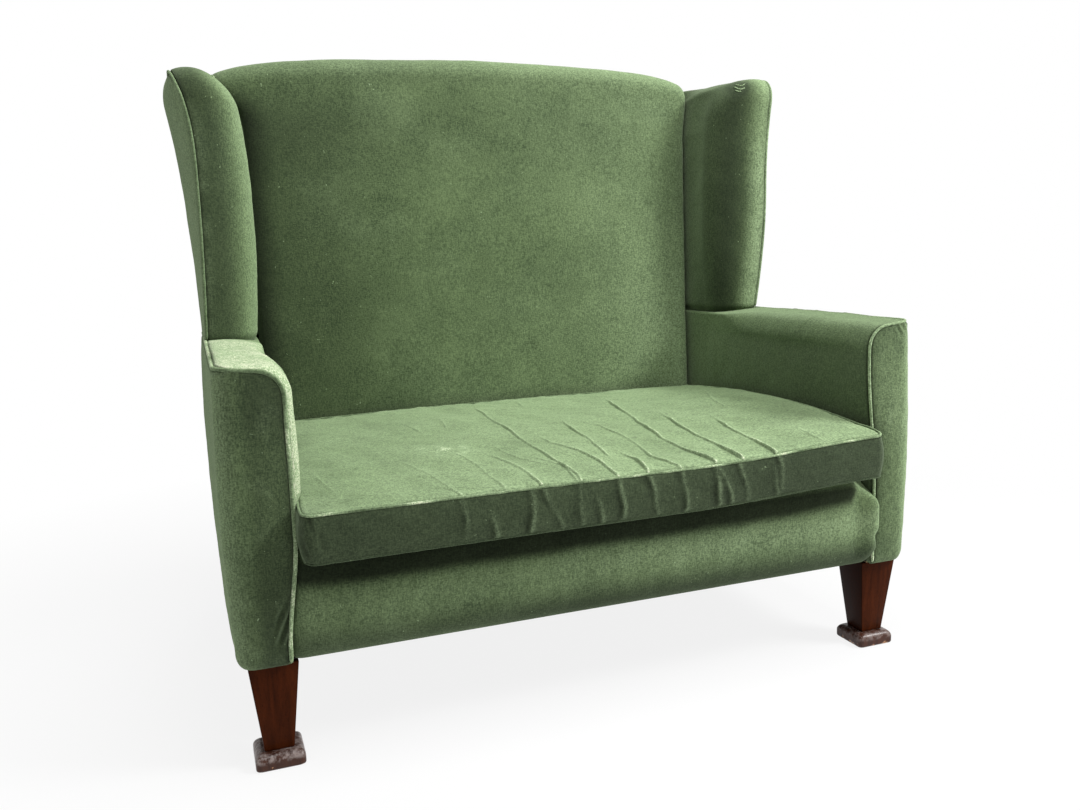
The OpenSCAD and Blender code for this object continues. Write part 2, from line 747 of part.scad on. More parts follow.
// The inside of the arm: a sloping line at the front, plumb at the rear, with a swell between
arm_face_top = arm_h - arm_fall - arm_round;
function arm_front_x(z) = face_x + arm_taper * limit((arm_face_top - z) / (arm_face_top - skirt_h), 0, 1);
function arm_face_x(y, z) =
    let (
        s = limit(y / back_y, 0, 1),
        swell = arm_swell * sin(180 * s) * sin(180 * limit((z - deck_h) / (arm_face_top - deck_h), 0, 1))
    )
    mix(arm_front_x(z), arm_rear_x, s) - swell;
function arm_round_at(y) =
    mix(arm_round, arm_rear_round, limit((y - wing_y + arm_round_run) / arm_round_run, 0, 1));

arm_up_shares = [0, 0.2, 0.45, 0.75, 1];
arm_arc_steps = 4;
arm_top_shares = [0.4, 1];
// Heights of the rows up the face: one where the cover is tacked, and the rest above the deck
function arm_up(top) = concat([arm_low_h], [for (t = arm_up_shares) mix(deck_h, top, t)]);
// The outer edge of the arm's top, which turns round the outer front corner
function arm_outer_x(y) =
    y > arm_corner_r ? half_w - seam_in
    : half_w - arm_corner_r + sqrt(max(0, pow(arm_corner_r - seam_in, 2) - pow(arm_corner_r - y, 2)));
// Points up the inside of the arm and over its top, at a depth and a distance from the front
function arm_line(y, depth) =
    let (
        r = arm_round_at(y),
        high_x = arm_face_x(y, arm_h),
        centre = [high_x + r, arm_top(high_x + r) - r],
        outer = arm_outer_x(y)
    )
    concat(
        [for (z = arm_up(centre[1])) [arm_face_x(y, z) + depth, y, z]],
        [for (i = [1 : arm_arc_steps])
            let (a = mix(180, 90, i / arm_arc_steps), p = centre + (r - depth) * [cos(a), sin(a)])
            [p[0], y, p[1]]],
        [for (t = arm_top_shares) let (x = mix(centre[0], outer, t)) [x, y, arm_top(x) - depth]]);

// The same rows along the face of the arm's frame
frame_round = 4;
function arm_frame_line(y) =
    let (
        x = arm_inner_x - slip,
        z = arm_rail_z + arm_rail_t + slip,
        centre = [x + frame_round, z - frame_round],
        outer = arm_outer_x(y)
    )
    concat(
        [for (up = arm_up(centre[1])) [x, y, up]],
        [for (i = [1 : arm_arc_steps])
            let (a = mix(180, 90, i / arm_arc_steps), p = centre + frame_round * [cos(a), sin(a)])
            [p[0], y, p[1]]],
        [for (t = arm_top_shares) [mix(centre[0], outer, t), y, z]]);

arm_along_shares = [1, 0.86, 0.73, 0.68, 0.5, 0.3, 0.12, 0.034, 0.01, 0];
arm_ys = [for (t = arm_along_shares) mix(seam_in, arm_cover_end, t)];
// Rows go up and columns go forward, which is to the right from the seat
function turned(lines) = [for (i = [0 : len(lines[0]) - 1]) [for (l = lines) l[i]]];
function arm_grid(depth) = turned([for (y = arm_ys) arm_line(y, depth)]);

// The cover and the padding are slit round the wing post
module inside_arm_cover() placed() difference() {
    slab(arm_grid(0), arm_grid(cloth_t));
    wing_post_box(slip);
}
module inside_arm_cover_right() color(velvet) inside_arm_cover();
module inside_arm_cover_left() color(velvet) left_side() inside_arm_cover();

module arm_stuffing() placed() difference() {
    slab(arm_grid(layer), turned([for (y = arm_ys) arm_frame_line(y)]));
    wing_post_box(slip);
}
module arm_stuffing_right() color(hair) arm_stuffing();
module arm_stuffing_left() color(hair) left_side() arm_stuffing();

// One cloth covers the arm front and turns round the outer corner onto the side
corner_steps = 6;
function arm_wrap(inset) = concat(
    [[face_x - arm_taper, inset]],
    arc([half_w - arm_corner_r, arm_corner_r], arm_corner_r - inset, -90, 0, corner_steps),
    [[half_w - inset, cover_back]]);
arm_front_centre = [face_x + arm_round, arm_top(face_x + arm_round) - arm_round];
module arm_front_outline() polygon(concat(
    [[arm_front_x(skirt_h) + seam_in, skirt_h]],
    arc(arm_front_centre, arm_round - seam_in, 180, 90, corner_steps),
    [[half_w + overrun, arm_h - seam_in], [half_w + overrun, skirt_h]]));
module outside_arm_cover() placed() intersection() {
    along_z(skirt_h, arm_h) polygon(concat(arm_wrap(0), reversed(arm_wrap(cloth_t))));
    union() {
        along_y(-overrun, arm_corner_r) arm_front_outline();
        along_x(half_w - arm_corner_r, half_w + overrun) polygon([
            [arm_corner_r, skirt_h], [body_d, skirt_h], [body_d, arm_h - slip],
            [wing_y, arm_h - slip], [wing_y, arm_h - seam_in], [arm_corner_r, arm_h - seam_in]]);
    }
}
module outside_arm_cover_right() color(velvet) outside_arm_cover();
module outside_arm_cover_left() color(velvet) left_side() outside_arm_cover();

// Piping from the wing along the outer top edge, round the front and down the inner edge
arm_side_ys_share = [1, 0.6, 0.3, 0.1];
arm_piping_top = arm_h - piping_in;
arm_piping_path = concat(
    [for (t = arm_side_ys_share)
        [half_w - piping_in, mix(arm_corner_r, wing_y - slip, t), arm_piping_top]],
    [for (p = arc([half_w - arm_corner_r, arm_corner_r], arm_corner_r - piping_in, 0, -90, corner_steps))
        [p[0], p[1], arm_top(p[0]) - piping_in]],
    [for (p = arc(arm_front_centre, arm_round - piping_in, 90, 180, corner_steps)) [p[0], piping_in, p[1]]],
    [[arm_front_x(skirt_h) + piping_in, piping_in, skirt_h]]);
module arm_piping() placed() tube(arm_piping_path, piping_r, piping_sides, unit([1, -1, 1.3]));
module arm_piping_right() color(velvet_light) arm_piping();
module arm_piping_left() color(velvet_light) left_side() arm_piping();

// Seat: webbing, springs, hessian, stuffing and covers

function seat_half(y) = arm_face_x(y, deck_h) - cloth_t;

// A strap's side profile: it rises over one crossing and dips under the next
function strap_line(length, crossings, flip) =
    let (reach = web_w / 2 + web_t)
    concat(
        [[-length / 2, 0]],
        [for (i = [0 : len(crossings) - 1]) let (h = ((i + flip) % 2 == 0 ? 1 : -1) * web_step)
            each [[crossings[i] - reach, h], [crossings[i] + reach, h]]],
        [[length / 2, 0]]);
module strap(length, crossings, flip) {
    line = strap_line(length, crossings, flip);
    rotate([90, 0, 0]) linear_extrude(web_w, center = true) polygon(concat(
        [for (p = line) p + [0, web_t / 2]], reversed([for (p = line) p - [0, web_t / 2]])));
}

spring_pitch_x = 2 * (back_half - 2 * spring_r) / spring_columns;
spring_pitch_y = (deck_end - border_deep - spring_r) / spring_rows;
spring_xs = [for (i = [0 : spring_columns - 1]) (i - (spring_columns - 1) / 2) * spring_pitch_x];
spring_ys = [for (i = [0 : spring_rows - 1]) border_deep + spring_r + (i + 0.45) * spring_pitch_y];
seat_web_xs = [for (x = spring_xs) each [x - web_w * 0.7, x + web_w * 0.7]];
seat_web_mid = (back_rail_y + rail_t + frame_y) / 2;
seat_strap_l = frame_back - frame_y - 2 * rail_t / 3;
module seat_webbing() color(jute) placed() translate([0, 0, web_mid_z]) {
    for (i = [0 : len(seat_web_xs) - 1])
        translate([seat_web_xs[i], seat_web_mid, 0]) rotate([0, 0, 90])
            strap(seat_strap_l, [for (y = spring_ys) y - seat_web_mid], i);
    for (i = [0 : spring_rows - 1])
        translate([0, spring_ys[i], 0]) strap(2 * frame_x - rail_t, seat_web_xs, i + 1);
}

// An hourglass coil spring, one unbroken wire
spring_points = [for (i = [0 : spring_turns * spring_steps])
    let (
        t = i / (spring_turns * spring_steps),
        r = spring_waist + (spring_r - spring_waist) * pow(abs(2 * t - 1), 1.5),
        a = 360 * i / spring_steps
    )
    [r * cos(a), r * sin(a), wire_r + (spring_h - 2 * wire_r) * t]];
spring_count = len(spring_points);
spring_gap = min([for (i = [0 : spring_count - 1]) for (k = [i + spring_steps / 2 : 1 : spring_count - 1])
    norm(spring_points[i] - spring_points[k])]) - 2 * wire_r;
echo(spring_least_gap = spring_gap);
module seat_springs() color(steel) placed()
    for (x = spring_xs, y = spring_ys) translate([x, y, spring_foot])
        tube(spring_points, wire_r, wire_sides, [0, 0, 1]);

// The hessian lies over the springs and slopes down to the rails
hessian_low = rail_z + rail_h + slip;
function hessian_line(up) = [
    [frame_y + slip, hessian_low + up], [rail_face, hessian_low + up],
    [rail_face + hessian_slope, hessian_z + up], [deck_end - hessian_slope, hessian_z + up],
    [deck_end, hessian_low + up], [frame_back - hessian_in, hessian_low + up]];
hessian_half = back_half - slip;
module seat_hessian() color(jute) placed() along_x(-hessian_half, hessian_half)
    polygon(concat(hessian_line(0), reversed(hessian_line(hessian_t))));

// The front border and the deck: [y, z] points at a depth below the velvet
deck_arc_steps = 6;
border_low = rail_z - border_over;
function border_line(depth) = concat(
    [[depth, border_low], [depth, deck_h - deck_round]],
    arc([deck_round, deck_h - deck_round], deck_round - depth, 180, 90, deck_arc_steps),
    [[border_deep, deck_h - depth]]);

// The ends follow the slope of the arm fronts' piping
function border_half(z) = arm_front_x(z) + piping_in - piping_r - slip;
border_widest = border_half(border_low);
module border_ends() along_y(-overrun, body_d) polygon([
    [-border_widest, border_low], [border_widest, border_low],
    [border_half(deck_h), deck_h], [-border_half(deck_h), deck_h]]);

// Padding in front of the front rail and over the whole deck, inside the arms
module seat_stuffing() color(hair) placed() intersection() {
    border_ends();
    along_x(-border_widest, border_widest) polygon(concat(
        border_line(layer),
        [[deck_end, deck_h - layer], [deck_end, hessian_low + hessian_t + slip]],
        [[deck_end - slip, hessian_low + hessian_t + slip],
         [deck_end - hessian_slope, hessian_z + hessian_t + slip],
         [rail_face + hessian_slope, hessian_z + hessian_t + slip],
         [rail_face, hessian_low + hessian_t + slip],
         [frame_y - slip, hessian_low + hessian_t + slip], [frame_y - slip, border_low]]));
    along_z(skirt_h, deck_h) polygon([
        [-border_widest, 0], [border_widest, 0], [seat_half(border_deep), border_deep],
        [seat_half(deck_end), deck_end], [-seat_half(deck_end), deck_end],
        [-seat_half(border_deep), border_deep]]);
}

module front_border() color(velvet) placed() intersection() {
    border_ends();
    along_x(-border_widest, border_widest)
        polygon(concat(border_line(0), reversed(border_line(cloth_t))));
}

module platform_cover() color(velvet) placed() along_z(deck_h - cloth_t, deck_h) polygon([
    [-seat_half(border_deep), border_deep + slip], [seat_half(border_deep), border_deep + slip],
    [seat_half(deck_end), deck_end], [-seat_half(deck_end), deck_end]]);

// Black cloth closes the underside, cut out round the posts
dust_top = web_mid_z - web_step - web_t / 2 - slip;
module dust_cover() color(black_cloth) placed() along_z(dust_top - dust_t, dust_top) {
    translate([-frame_x, arm_post_back + slip])
        square([2 * frame_x, back_post_y - arm_post_back - 2 * slip]);
    translate([-arm_inner_x + slip, frame_y])
        square([2 * (arm_inner_x - slip), frame_back - frame_y]);
}

// Back: webbing, padding and covers

back_web_y = crest_front - web_step - web_t / 2 - slip;
back_strap_count = 7;
back_strap_pitch = 2 * (back_half - web_w) / (back_strap_count - 1);
back_strap_xs = [for (i = [0 : back_strap_count - 1])
    (i - (back_strap_count - 1) / 2) * back_strap_pitch];
back_web_low = lower_rail_z + back_web_in;
back_web_high = wing_rear_h - crest_down - 2 * back_web_in;
back_web_mid = (back_web_low + back_web_high) / 2;
back_cross_shares = [-0.26, 0, 0.26];
back_cross_zs = [for (s = back_cross_shares) s * (back_web_high - back_web_low)];
module back_webbing() color(jute) placed() translate([0, back_web_y, back_web_mid]) {
    for (i = [0 : back_strap_count - 1])
        translate([back_strap_xs[i], 0, 0]) rotate([0, -90, 90])
            strap(back_web_high - back_web_low, back_cross_zs, i);
    for (i = [0 : len(back_cross_zs) - 1])
        translate([0, 0, back_cross_zs[i]]) rotate([90, 0, 0])
            strap(2 * back_inner_x - 2 * slip, back_strap_xs, i);
}

// The inside back: columns across, rows up the face, over the crest's roll and falling to the rear
back_up_shares = [0, 0.12, 0.35, 0.6, 0.85, 1];
crest_arc_steps = 4;
crest_top_shares = [0.5, 1];
rear_dip = 4;
function back_face_y(share, z) =
    let (
        t = (z - back_low_h) / (crest_h - back_low_h),
        edge = max(0, (abs(share) - back_edge_share) / (1 - back_edge_share))
    )
    back_y + back_lean * t + back_edge_round * pow(edge, 2)
    - back_swell * sin(180 * limit(t, 0, 1)) * (1 - pow(share, 4));
function back_column(share, depth) =
    let (
        x_top = share * (back_top_half - slip),
        top = crest(x_top),
        roll_z = top - crest_roll,
        roll_y = back_face_y(share, roll_z) + crest_roll
    )
    concat(
        [for (t = back_up_shares)
            let (z = mix(back_low_h, roll_z, t), x = share * back_half_at(z))
            [x, back_face_y(share, z) + depth, z]],
        [for (i = [1 : crest_arc_steps])
            let (
                a = mix(180, 90, i / crest_arc_steps),
                p = [roll_y, roll_z] + (crest_roll - depth) * [cos(a), sin(a)]
            )
            [share * back_half_at(p[1]), p[0], p[1]]],
        [for (t = crest_top_shares) [x_top, mix(roll_y, cover_back, t), top - depth - rear_dip * t]]);
function back_frame_column(share) =
    let (
        y = back_web_y - web_step - web_t / 2 - slip,
        x_top = share * (back_top_half - slip),
        z = crest(x_top) - crest_down + slip,
        centre = [y + frame_round, z - frame_round]
    )
    concat(
        [for (t = back_up_shares)
            let (up = mix(back_low_h, centre[1], t)) [share * back_half_at(up), y, up]],
        [for (i = [1 : crest_arc_steps])
            let (a = mix(180, 90, i / crest_arc_steps), p = centre + frame_round * [cos(a), sin(a)])
            [x_top, p[0], p[1]]],
        [for (t = crest_top_shares) [x_top, mix(centre[0], cover_back, t), z]]);
function back_grid(depth) = turned([for (s = back_column_shares) back_column(s, depth)]);

module inside_back_cover() color(velvet) placed() slab(back_grid(0), back_grid(cloth_t));
module back_stuffing() color(hair) placed()
    slab(back_grid(layer), turned([for (s = back_column_shares) back_frame_column(s)]));

outside_rows = 5;
outside_corner_r = 14;
outside_corner_z = wing_rear_h - rear_dip - outside_corner_r;
outside_corner_x = wing_rear_x(outside_corner_z) - outside_corner_r;
outside_back_half = concat(
    [[half_w, skirt_h], [half_w, arm_h]],
    [for (i = [1 : outside_rows - 1])
        let (z = mix(arm_h, outside_corner_z, i / outside_rows)) [wing_rear_x(z), z]],
    arc([outside_corner_x, outside_corner_z], outside_corner_r, 0, 90, corner_steps),
    [for (x = reversed(crest_xs)) if (x > slip) [x, crest(x) - rear_dip]]);
module outside_back_cover() color(velvet) placed() along_y(body_d - cloth_t, body_d)
    polygon(concat(outside_back_half, [[0, crest_h - rear_dip]],
        reversed([for (p = outside_back_half) [-p[0], p[1]]])));

// Cushion: a loose feather and foam cushion with boxing and self piping

cushion_wing_lap = 10;
cushion_z = deck_h + slip;
cushion_corner = 32;
side_steps = 6;
long_steps = 9;
function cushion_half_at(y) =
    cushion_half - cushion_taper * limit(y / (wing_y + cushion_wing_lap), 0, 1);
// The plan, counter-clockwise from the front left corner, moved in by an amount
function cushion_plan(inset) =
    let (
        front = -cushion_front + inset,
        rear = cushion_rear - inset,
        r = cushion_corner - inset,
        xf = cushion_half_at(-cushion_front) - inset,
        xr = cushion_half_at(cushion_rear) - inset,
        front_run = [for (i = [1 : long_steps - 1]) let (t = i / long_steps)
            [mix(-xf + r, xf - r, t), front + cushion_draw * sin(180 * t)]],
        rear_run = [for (i = [1 : long_steps - 1]) let (t = i / long_steps)
            [mix(xr - r, -xr + r, t), rear - cushion_draw * sin(180 * t)]],
        right_run = [for (i = [1 : side_steps - 1])
            let (y = mix(front + r, rear - r, i / side_steps)) [cushion_half_at(y) - inset, y]],
        corner = function (x, y, from) arc([x, y], r, from, from + 90, 3)
    )
    concat(
        front_run, corner(xf - r, front + r, -90), right_run, corner(xr - r, rear - r, 0),
        rear_run, corner(-xr + r, rear - r, 90),
        reversed([for (p = right_run) [-p[0], p[1]]]), corner(-xf + r, front + r, 180));

cushion_mid = (cushion_rear - cushion_front) / 2;
function cushion_edge_z(y) =
    cushion_z + boxing_h + cushion_rise * limit((y + cushion_front) / (cushion_rear + cushion_front), 0, 1);
floor_notch = 2 * piping_r + slip;
crown_shares = [0.4, 0.72, 0.9];
boxing_swell = 3;
// A ring of the top or bottom panel: the plan drawn in towards the middle
function cushion_top_ring(plan, share, depth) = [for (p = plan)
    let (y = mix(cushion_mid, p[1], share))
    [p[0] * share, y, cushion_edge_z(y) + cushion_crown * (1 - pow(share, 3)) - depth]];
function cushion_edge_ring(plan, down, depth) =
    [for (p = plan) [p[0], p[1], cushion_edge_z(p[1]) - down - depth]];
function cushion_floor_ring(plan, up) = [for (p = plan) [p[0], p[1], cushion_z + up]];
function cushion_middle_ring(plan, out) = [for (p = plan)
    let (away = unit([p[0], p[1] - cushion_mid]))
    [p[0] + out * away[0], p[1] + out * away[1], (cushion_z + cushion_edge_z(p[1])) / 2]];

// The whole outer form at a depth: panels, a notch along each seam for the piping, and boxing
module cushion_form(depth) {
    outer = cushion_plan(depth);
    notch = cushion_plan(seam_in + depth);
    stacked(
        concat(
            [for (s = crown_shares) cushion_top_ring(notch, s, depth)],
            [cushion_edge_ring(notch, 0, depth), cushion_edge_ring(notch, seam_in, depth),
             cushion_edge_ring(outer, seam_in, depth), cushion_middle_ring(outer, boxing_swell),
             cushion_floor_ring(outer, floor_notch + depth), cushion_floor_ring(notch, floor_notch + depth),
             cushion_floor_ring(notch, depth)]),
        [0, cushion_mid, cushion_edge_z(cushion_mid) + cushion_crown - depth],
        [0, cushion_mid, cushion_z + depth]);
}

module cushion_cover() color(velvet) placed() difference() {
    cushion_form(0);
    cushion_form(cloth_t);
}
module cushion_core() color(hair) placed() cushion_form(layer);

module cushion_piping() color(velvet_light) placed() {
    plan = cushion_plan(piping_in);
    upper = [for (p = plan) [p[0], p[1], cushion_edge_z(p[1]) - piping_in]];
    lower = [for (p = plan) [p[0], p[1], cushion_z + piping_r]];
    for (path = [upper, lower]) tube(path, piping_r, piping_sides, [0, 0, 1], true);
}

front_rail();
back_rail();
side_rail_left();
side_rail_right();
corner_blocks();
block_screws();
frame_dowels();
arm_post_left();
arm_post_right();
arm_rail_left();
arm_rail_right();
arm_tack_rail_left();
arm_tack_rail_right();
back_post_left();
back_post_right();
crest_rail();
lower_back_rail();
back_stile();
wing_post_left();
wing_post_right();
wing_rail_left();
wing_rail_right();
front_leg_left();
front_leg_right();
front_foot_left();
front_foot_right();
rear_leg_left();
rear_leg_right();
seat_webbing();
seat_springs();
seat_hessian();
seat_stuffing();
platform_cover();
front_border();
dust_cover();
back_webbing();
back_stuffing();
inside_back_cover();
outside_back_cover();
arm_stuffing_left();
arm_stuffing_right();
inside_arm_cover_left();
inside_arm_cover_right();
outside_arm_cover_left();
outside_arm_cover_right();
arm_piping_left();
arm_piping_right();
wing_stuffing_left();
wing_stuffing_right();
inside_wing_cover_left();
inside_wing_cover_right();
outside_wing_cover_left();
outside_wing_cover_right();
wing_piping_left();
wing_piping_right();
cushion_core();
cushion_cover();
cushion_piping();
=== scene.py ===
"""High back settee in worn green velvet: the looks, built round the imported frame. Metres, +Z up."""

import json
import math

import bpy
import numpy as np
from mathutils import Matrix, Vector


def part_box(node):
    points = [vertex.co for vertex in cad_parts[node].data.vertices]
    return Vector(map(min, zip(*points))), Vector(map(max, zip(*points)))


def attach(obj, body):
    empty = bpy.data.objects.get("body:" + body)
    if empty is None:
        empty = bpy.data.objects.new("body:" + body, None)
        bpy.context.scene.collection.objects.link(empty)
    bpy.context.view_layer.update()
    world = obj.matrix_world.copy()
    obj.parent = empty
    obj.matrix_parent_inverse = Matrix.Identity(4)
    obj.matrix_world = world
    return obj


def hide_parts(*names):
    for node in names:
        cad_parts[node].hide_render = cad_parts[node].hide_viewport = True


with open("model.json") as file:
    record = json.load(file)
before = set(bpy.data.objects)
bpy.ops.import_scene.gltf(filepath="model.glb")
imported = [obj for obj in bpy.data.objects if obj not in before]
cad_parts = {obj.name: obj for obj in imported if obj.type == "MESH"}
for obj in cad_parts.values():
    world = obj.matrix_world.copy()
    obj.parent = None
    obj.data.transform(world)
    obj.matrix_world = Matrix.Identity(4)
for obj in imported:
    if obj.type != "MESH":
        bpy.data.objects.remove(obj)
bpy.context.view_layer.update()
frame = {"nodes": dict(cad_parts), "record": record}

# Sizes that the frame gives. In the pieces, y is measured back from the arm fronts.
FRONT_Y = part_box("outside_arm_cover_right")[0].y
HALF_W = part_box("outside_arm_cover_right")[1].x
BODY_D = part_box("outside_back_cover")[1].y - FRONT_Y
CREST_LOWER = 0.004
CREST_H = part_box("inside_back_cover")[1].z - CREST_LOWER
SKIRT_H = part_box("outside_back_cover")[0].z
DECK_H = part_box("platform_cover")[1].z
LEG_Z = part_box("arm_post_right")[0].z

# Arms
ARM_H = 0.670
ARM_W = 0.107
ARM_FALL = 0.010
ARM_ROUND = 0.045
ARM_REAR_ROUND = 0.006
ARM_CORNER_R = 0.030
ARM_SWELL = 0.008
ARM_CROWN = {"right": 0.002, "left": 0.0065}
ARM_PAST_SEAM = {"right": 0.0, "left": 0.013}
ARM_SIDE_SWELL = {"right": 0.0085, "left": 0.0125}
ARM_REAR_X = 0.538
ARM_END_Y = BODY_D - 0.070
# The facing's inner seam: its place above, how far it moves out, and the heights between which it does
ARM_SEAM = {"right": (0.548, 0.018, 0.60, 0.34), "left": (0.5455, 0.0205, 0.40, 0.20)}

# Wings, whose two front edges differ: the foot's place, the swing and its share of the height, the lean,
# and the flare at the top with the share that it starts at and its power
WING_Y = 0.530
WING_HIGH = {"right": 1.2160, "left": 1.2020}
WING_RIM = {"right": (0.634, 0.026, 0.5, 0.004, 0.0225, 0.55, 2.0),
            "left": (0.6475, -0.0085, 0.55, 0.0, 0.040, 0.62, 2.4)}
WING_ROUND = {"right": 0.060, "left": 0.064}
WING_RISE = 0.545
WING_ROLL = 0.080
WING_CROWN = {"right": 0.0145, "left": 0.0270}
WING_SWELL = 0.026
WING_SWELL_FOOT = 0.002
WING_LEAN_REAR = 0.024
WING_THICK = 0.106
WING_INNER_WAIST = 0.016
WING_INNER_FLARE = 0.034
WING_TOP_OUT = 0.022
# The heights between which the wings' tops and the back's left corner lean further out
TOP_FROM, TOP_TO = 1.13, 1.215
WING_SEAM_GAP = 0.004
WING_SEAM_H = 0.945
# The wing edge's rows: up the front, round the corner and back along the top
WING_ROWS = (80, 30, 40)
# Stitched tucks at the inner top of each wing's roll: the ends and the middle of each thread, as a row
# and the way in from the rim
WING_TUCKS = {"left": (((98.0, 0.0905), (101.5, 0.0880), (105.0, 0.0905)),),
              "right": (((96.2, 0.0620), (92.0, 0.0730), (98.7, 0.0820)),
                        ((91.4, 0.0660), (88.8, 0.0790), (95.4, 0.0880)),
                        ((88.6, 0.0750), (88.4, 0.0820), (91.0, 0.0880)))}

# Back
BACK_HALF = 0.534
BACK_FLARE = 0.014
BACK_LEFT_OUT = 0.049
BACK_Y = 0.678
BACK_LEAN = 0.019
BACK_SWELL = 0.007
BACK_LOW_H = DECK_H + 0.008
CREST_ROLL = 0.045
CREST_FALL = 0.022
SHOULDER_FALL = 0.028
REAR_DIP = 0.004
BACK_CORNER = 0.014

# Seat and cushion
DECK_ROUND = 0.032
BORDER_DEEP = 0.060
BORDER_SWELL = 0.0135
CUSHION_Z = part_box("cushion_cover")[0].z
CUSHION_HALF = 0.537
CUSHION_TAPER = 0.016
CUSHION_FRONT = 0.055
CUSHION_REAR = 0.668
CUSHION_CORNER = 0.019
CUSHION_CORNER_OUT = 0.008
CUSHION_LEFT_OUT = 0.004
CUSHION_CROWN = 0.013
CUSHION_DRAW = 0.003
CUSHION_PIPING_R = 0.0022
BOXING_SWELL = 0.0055
FOLD_GAIN = 1.15
BOXING_FOLD_GAIN = 0.80

# Legs
FRONT_FOOT = 0.048
REAR_FOOT = 0.032
BLOCK_ROUND = 0.013
BLOCK_EASE = 0.005
BLOCK_GROWN = 0.003
BLOCK_CORNER_R = 0.007

# Cloth
CLOTH_T = 0.0025
PIPING_R = 0.0030
ARM_PIPING_R = {"right": 0.0028, "left": 0.0035}
PIPING_OUT = 0.0013
SLIP = 0.0004
PIPING_IN = PIPING_R - PIPING_OUT
SEAM_IN = 2 * PIPING_R - PIPING_OUT + SLIP
CUSHION_PIPING_OUT = 0.001
CUSHION_SEAM_IN = 2 * CUSHION_PIPING_R - CUSHION_PIPING_OUT
COVER_BACK = BODY_D - CLOTH_T - SLIP
# Painted shade along every seam that a panel turns in to: its strength, and how far it reaches
SEAM_DARK = 0.75
SEAM_DARK_W = 0.004

# Colours
VELVET_DARK = (0.038, 0.061, 0.027, 1)
VELVET_MID = (0.124, 0.175, 0.078, 1)
VELVET_PALE = (0.40, 0.53, 0.30, 1)
# The palest velvet, for threadbare wear and the strongest painted highlights
VELVET_WORN_HIGHLIGHT = (0.66, 0.70, 0.50, 1)
# The dark that the nap mark mixes in, for the nap and for painted shade
VELVET_NAP_AND_SHADE = (0.008, 0.012, 0.007, 1)
VELVET_SHEEN = (0.68, 0.84, 0.56, 1)
PIPING_MID = (0.12, 0.17, 0.085, 1)
# The painted sheen's colour and its share in the base colour
PAINTED_SHEEN_COLOUR = (0.31, 0.43, 0.225, 1)
PAINTED_SHEEN_SHARE = 0.52
# The grey of the foot blocks' scuffs, which also stands for a painted reflection on their upper rounding
SCUFF_AND_REFLECTION_COLOUR = (0.36, 0.30, 0.28, 1)
BARE_WOOD = (0.46, 0.24, 0.12, 1)
RUST = (0.22, 0.16, 0.11, 1)
WHITE = (1, 1, 1, 1)

HANDS = ("right", "left")
MARKS = ("wear", "shade", "nap_and_shade")
BACK_TOP_HALF = BACK_HALF + BACK_FLARE
BACK_TOP_LEFT = BACK_TOP_HALF + BACK_LEFT_OUT
WING_REAR_H = CREST_H - CREST_FALL - SHOULDER_FALL
ARM_FACE_TOP = ARM_H - ARM_FALL - ARM_ROUND


# Small maths

def lerp(a, b, t):
    return a + (b - a) * t


def limit(v, low=0.0, high=1.0):
    return np.clip(v, low, high)


def smooth(a, b, x):
    t = limit((x - a) / (b - a))
    return t * t * (3 - 2 * t)


def bump(x, middle, width):
    """1 at the middle, falling smoothly to nothing at about twice the width."""
    return np.exp(-((x - middle) / width) ** 2)


def tuck(distance, run, drop):
    """How deep a panel turns in at a seam, a quarter ellipse over the run."""
    t = limit(1 - distance / run)
    return drop * (1 - np.sqrt(1 - t * t))


def spread(count, crowd=1.0):
    """Shares from 0 to 1 that lie closer together near both ends."""
    t = np.linspace(0, 1, count)
    return lerp(t, 0.5 - 0.5 * np.cos(np.pi * t), crowd)


def noise(points, scale, seed=0, octaves=3):
    """Smooth noise from about -1 to 1: a sum of sines in directions that the seed draws."""
    draw = np.random.default_rng(seed)
    total = np.zeros(points.shape[:-1])
    size = 1.0
    for _ in range(octaves):
        for _ in range(5):
            direction = draw.normal(size=3)
            direction /= np.linalg.norm(direction)
            phase = draw.uniform(0, 2 * np.pi)
            stretch = draw.uniform(0.7, 1.4)
            total += size * np.sin(points @ direction * (2 * np.pi * stretch / scale) + phase)
        scale /= 2
        size /= 2
    return total / 4


def arc(centre, r, start, end, count):
    """Points of a flat arc between two angles in degrees."""
    a = np.radians(np.linspace(start, end, count))
    return np.column_stack([centre[0] + r * np.cos(a), centre[1] + r * np.sin(a)])


def path_points(path, shares):
    """Points of a path at shares of its length."""
    travelled = np.cumsum(np.append(0, np.linalg.norm(np.diff(path, axis=0), axis=1)))
    at = shares * travelled[-1]
    return np.stack([np.interp(at, travelled, line) for line in path.T], -1)


def rounded_path(runs, spacing=0.005, rounds=3):
    """The runs as one path with evenly spaced points, each averaged with its neighbours a few times."""
    path = np.concatenate(runs)
    length = np.linalg.norm(np.diff(path, axis=0), axis=1).sum()
    path = path_points(path, np.linspace(0, 1, int(round(length / spacing)) + 1))
    for _ in range(rounds):
        path[1:-1] = (path[:-2] + 2 * path[1:-1] + path[2:]) / 4
    return path


def coons(left, right, low, top, u, v):
    """A grid of points that blends four edges; u runs across and v up."""
    across = u[None, :, None]
    up = v[:, None, None]
    corners = lerp(lerp(left[0], right[0], across), lerp(left[-1], right[-1], across), up)
    return lerp(left[:, None], right[:, None], across) + lerp(low[None], top[None], up) - corners


# Grids: arrays of rows going up and columns going right, seen from outside

def grid_of(x, y, z):
    return np.stack(np.broadcast_arrays(x, y, z), -1)


def xyz(grid):
    return np.moveaxis(grid, -1, 0)


def along(grid, axis):
    """Distance travelled over the grid along an axis."""
    step = np.linalg.norm(np.diff(grid, axis=axis), axis=2)
    pad = [(1, 0), (0, 0)] if axis == 0 else [(0, 0), (1, 0)]
    return np.cumsum(np.pad(step, pad), axis=axis)


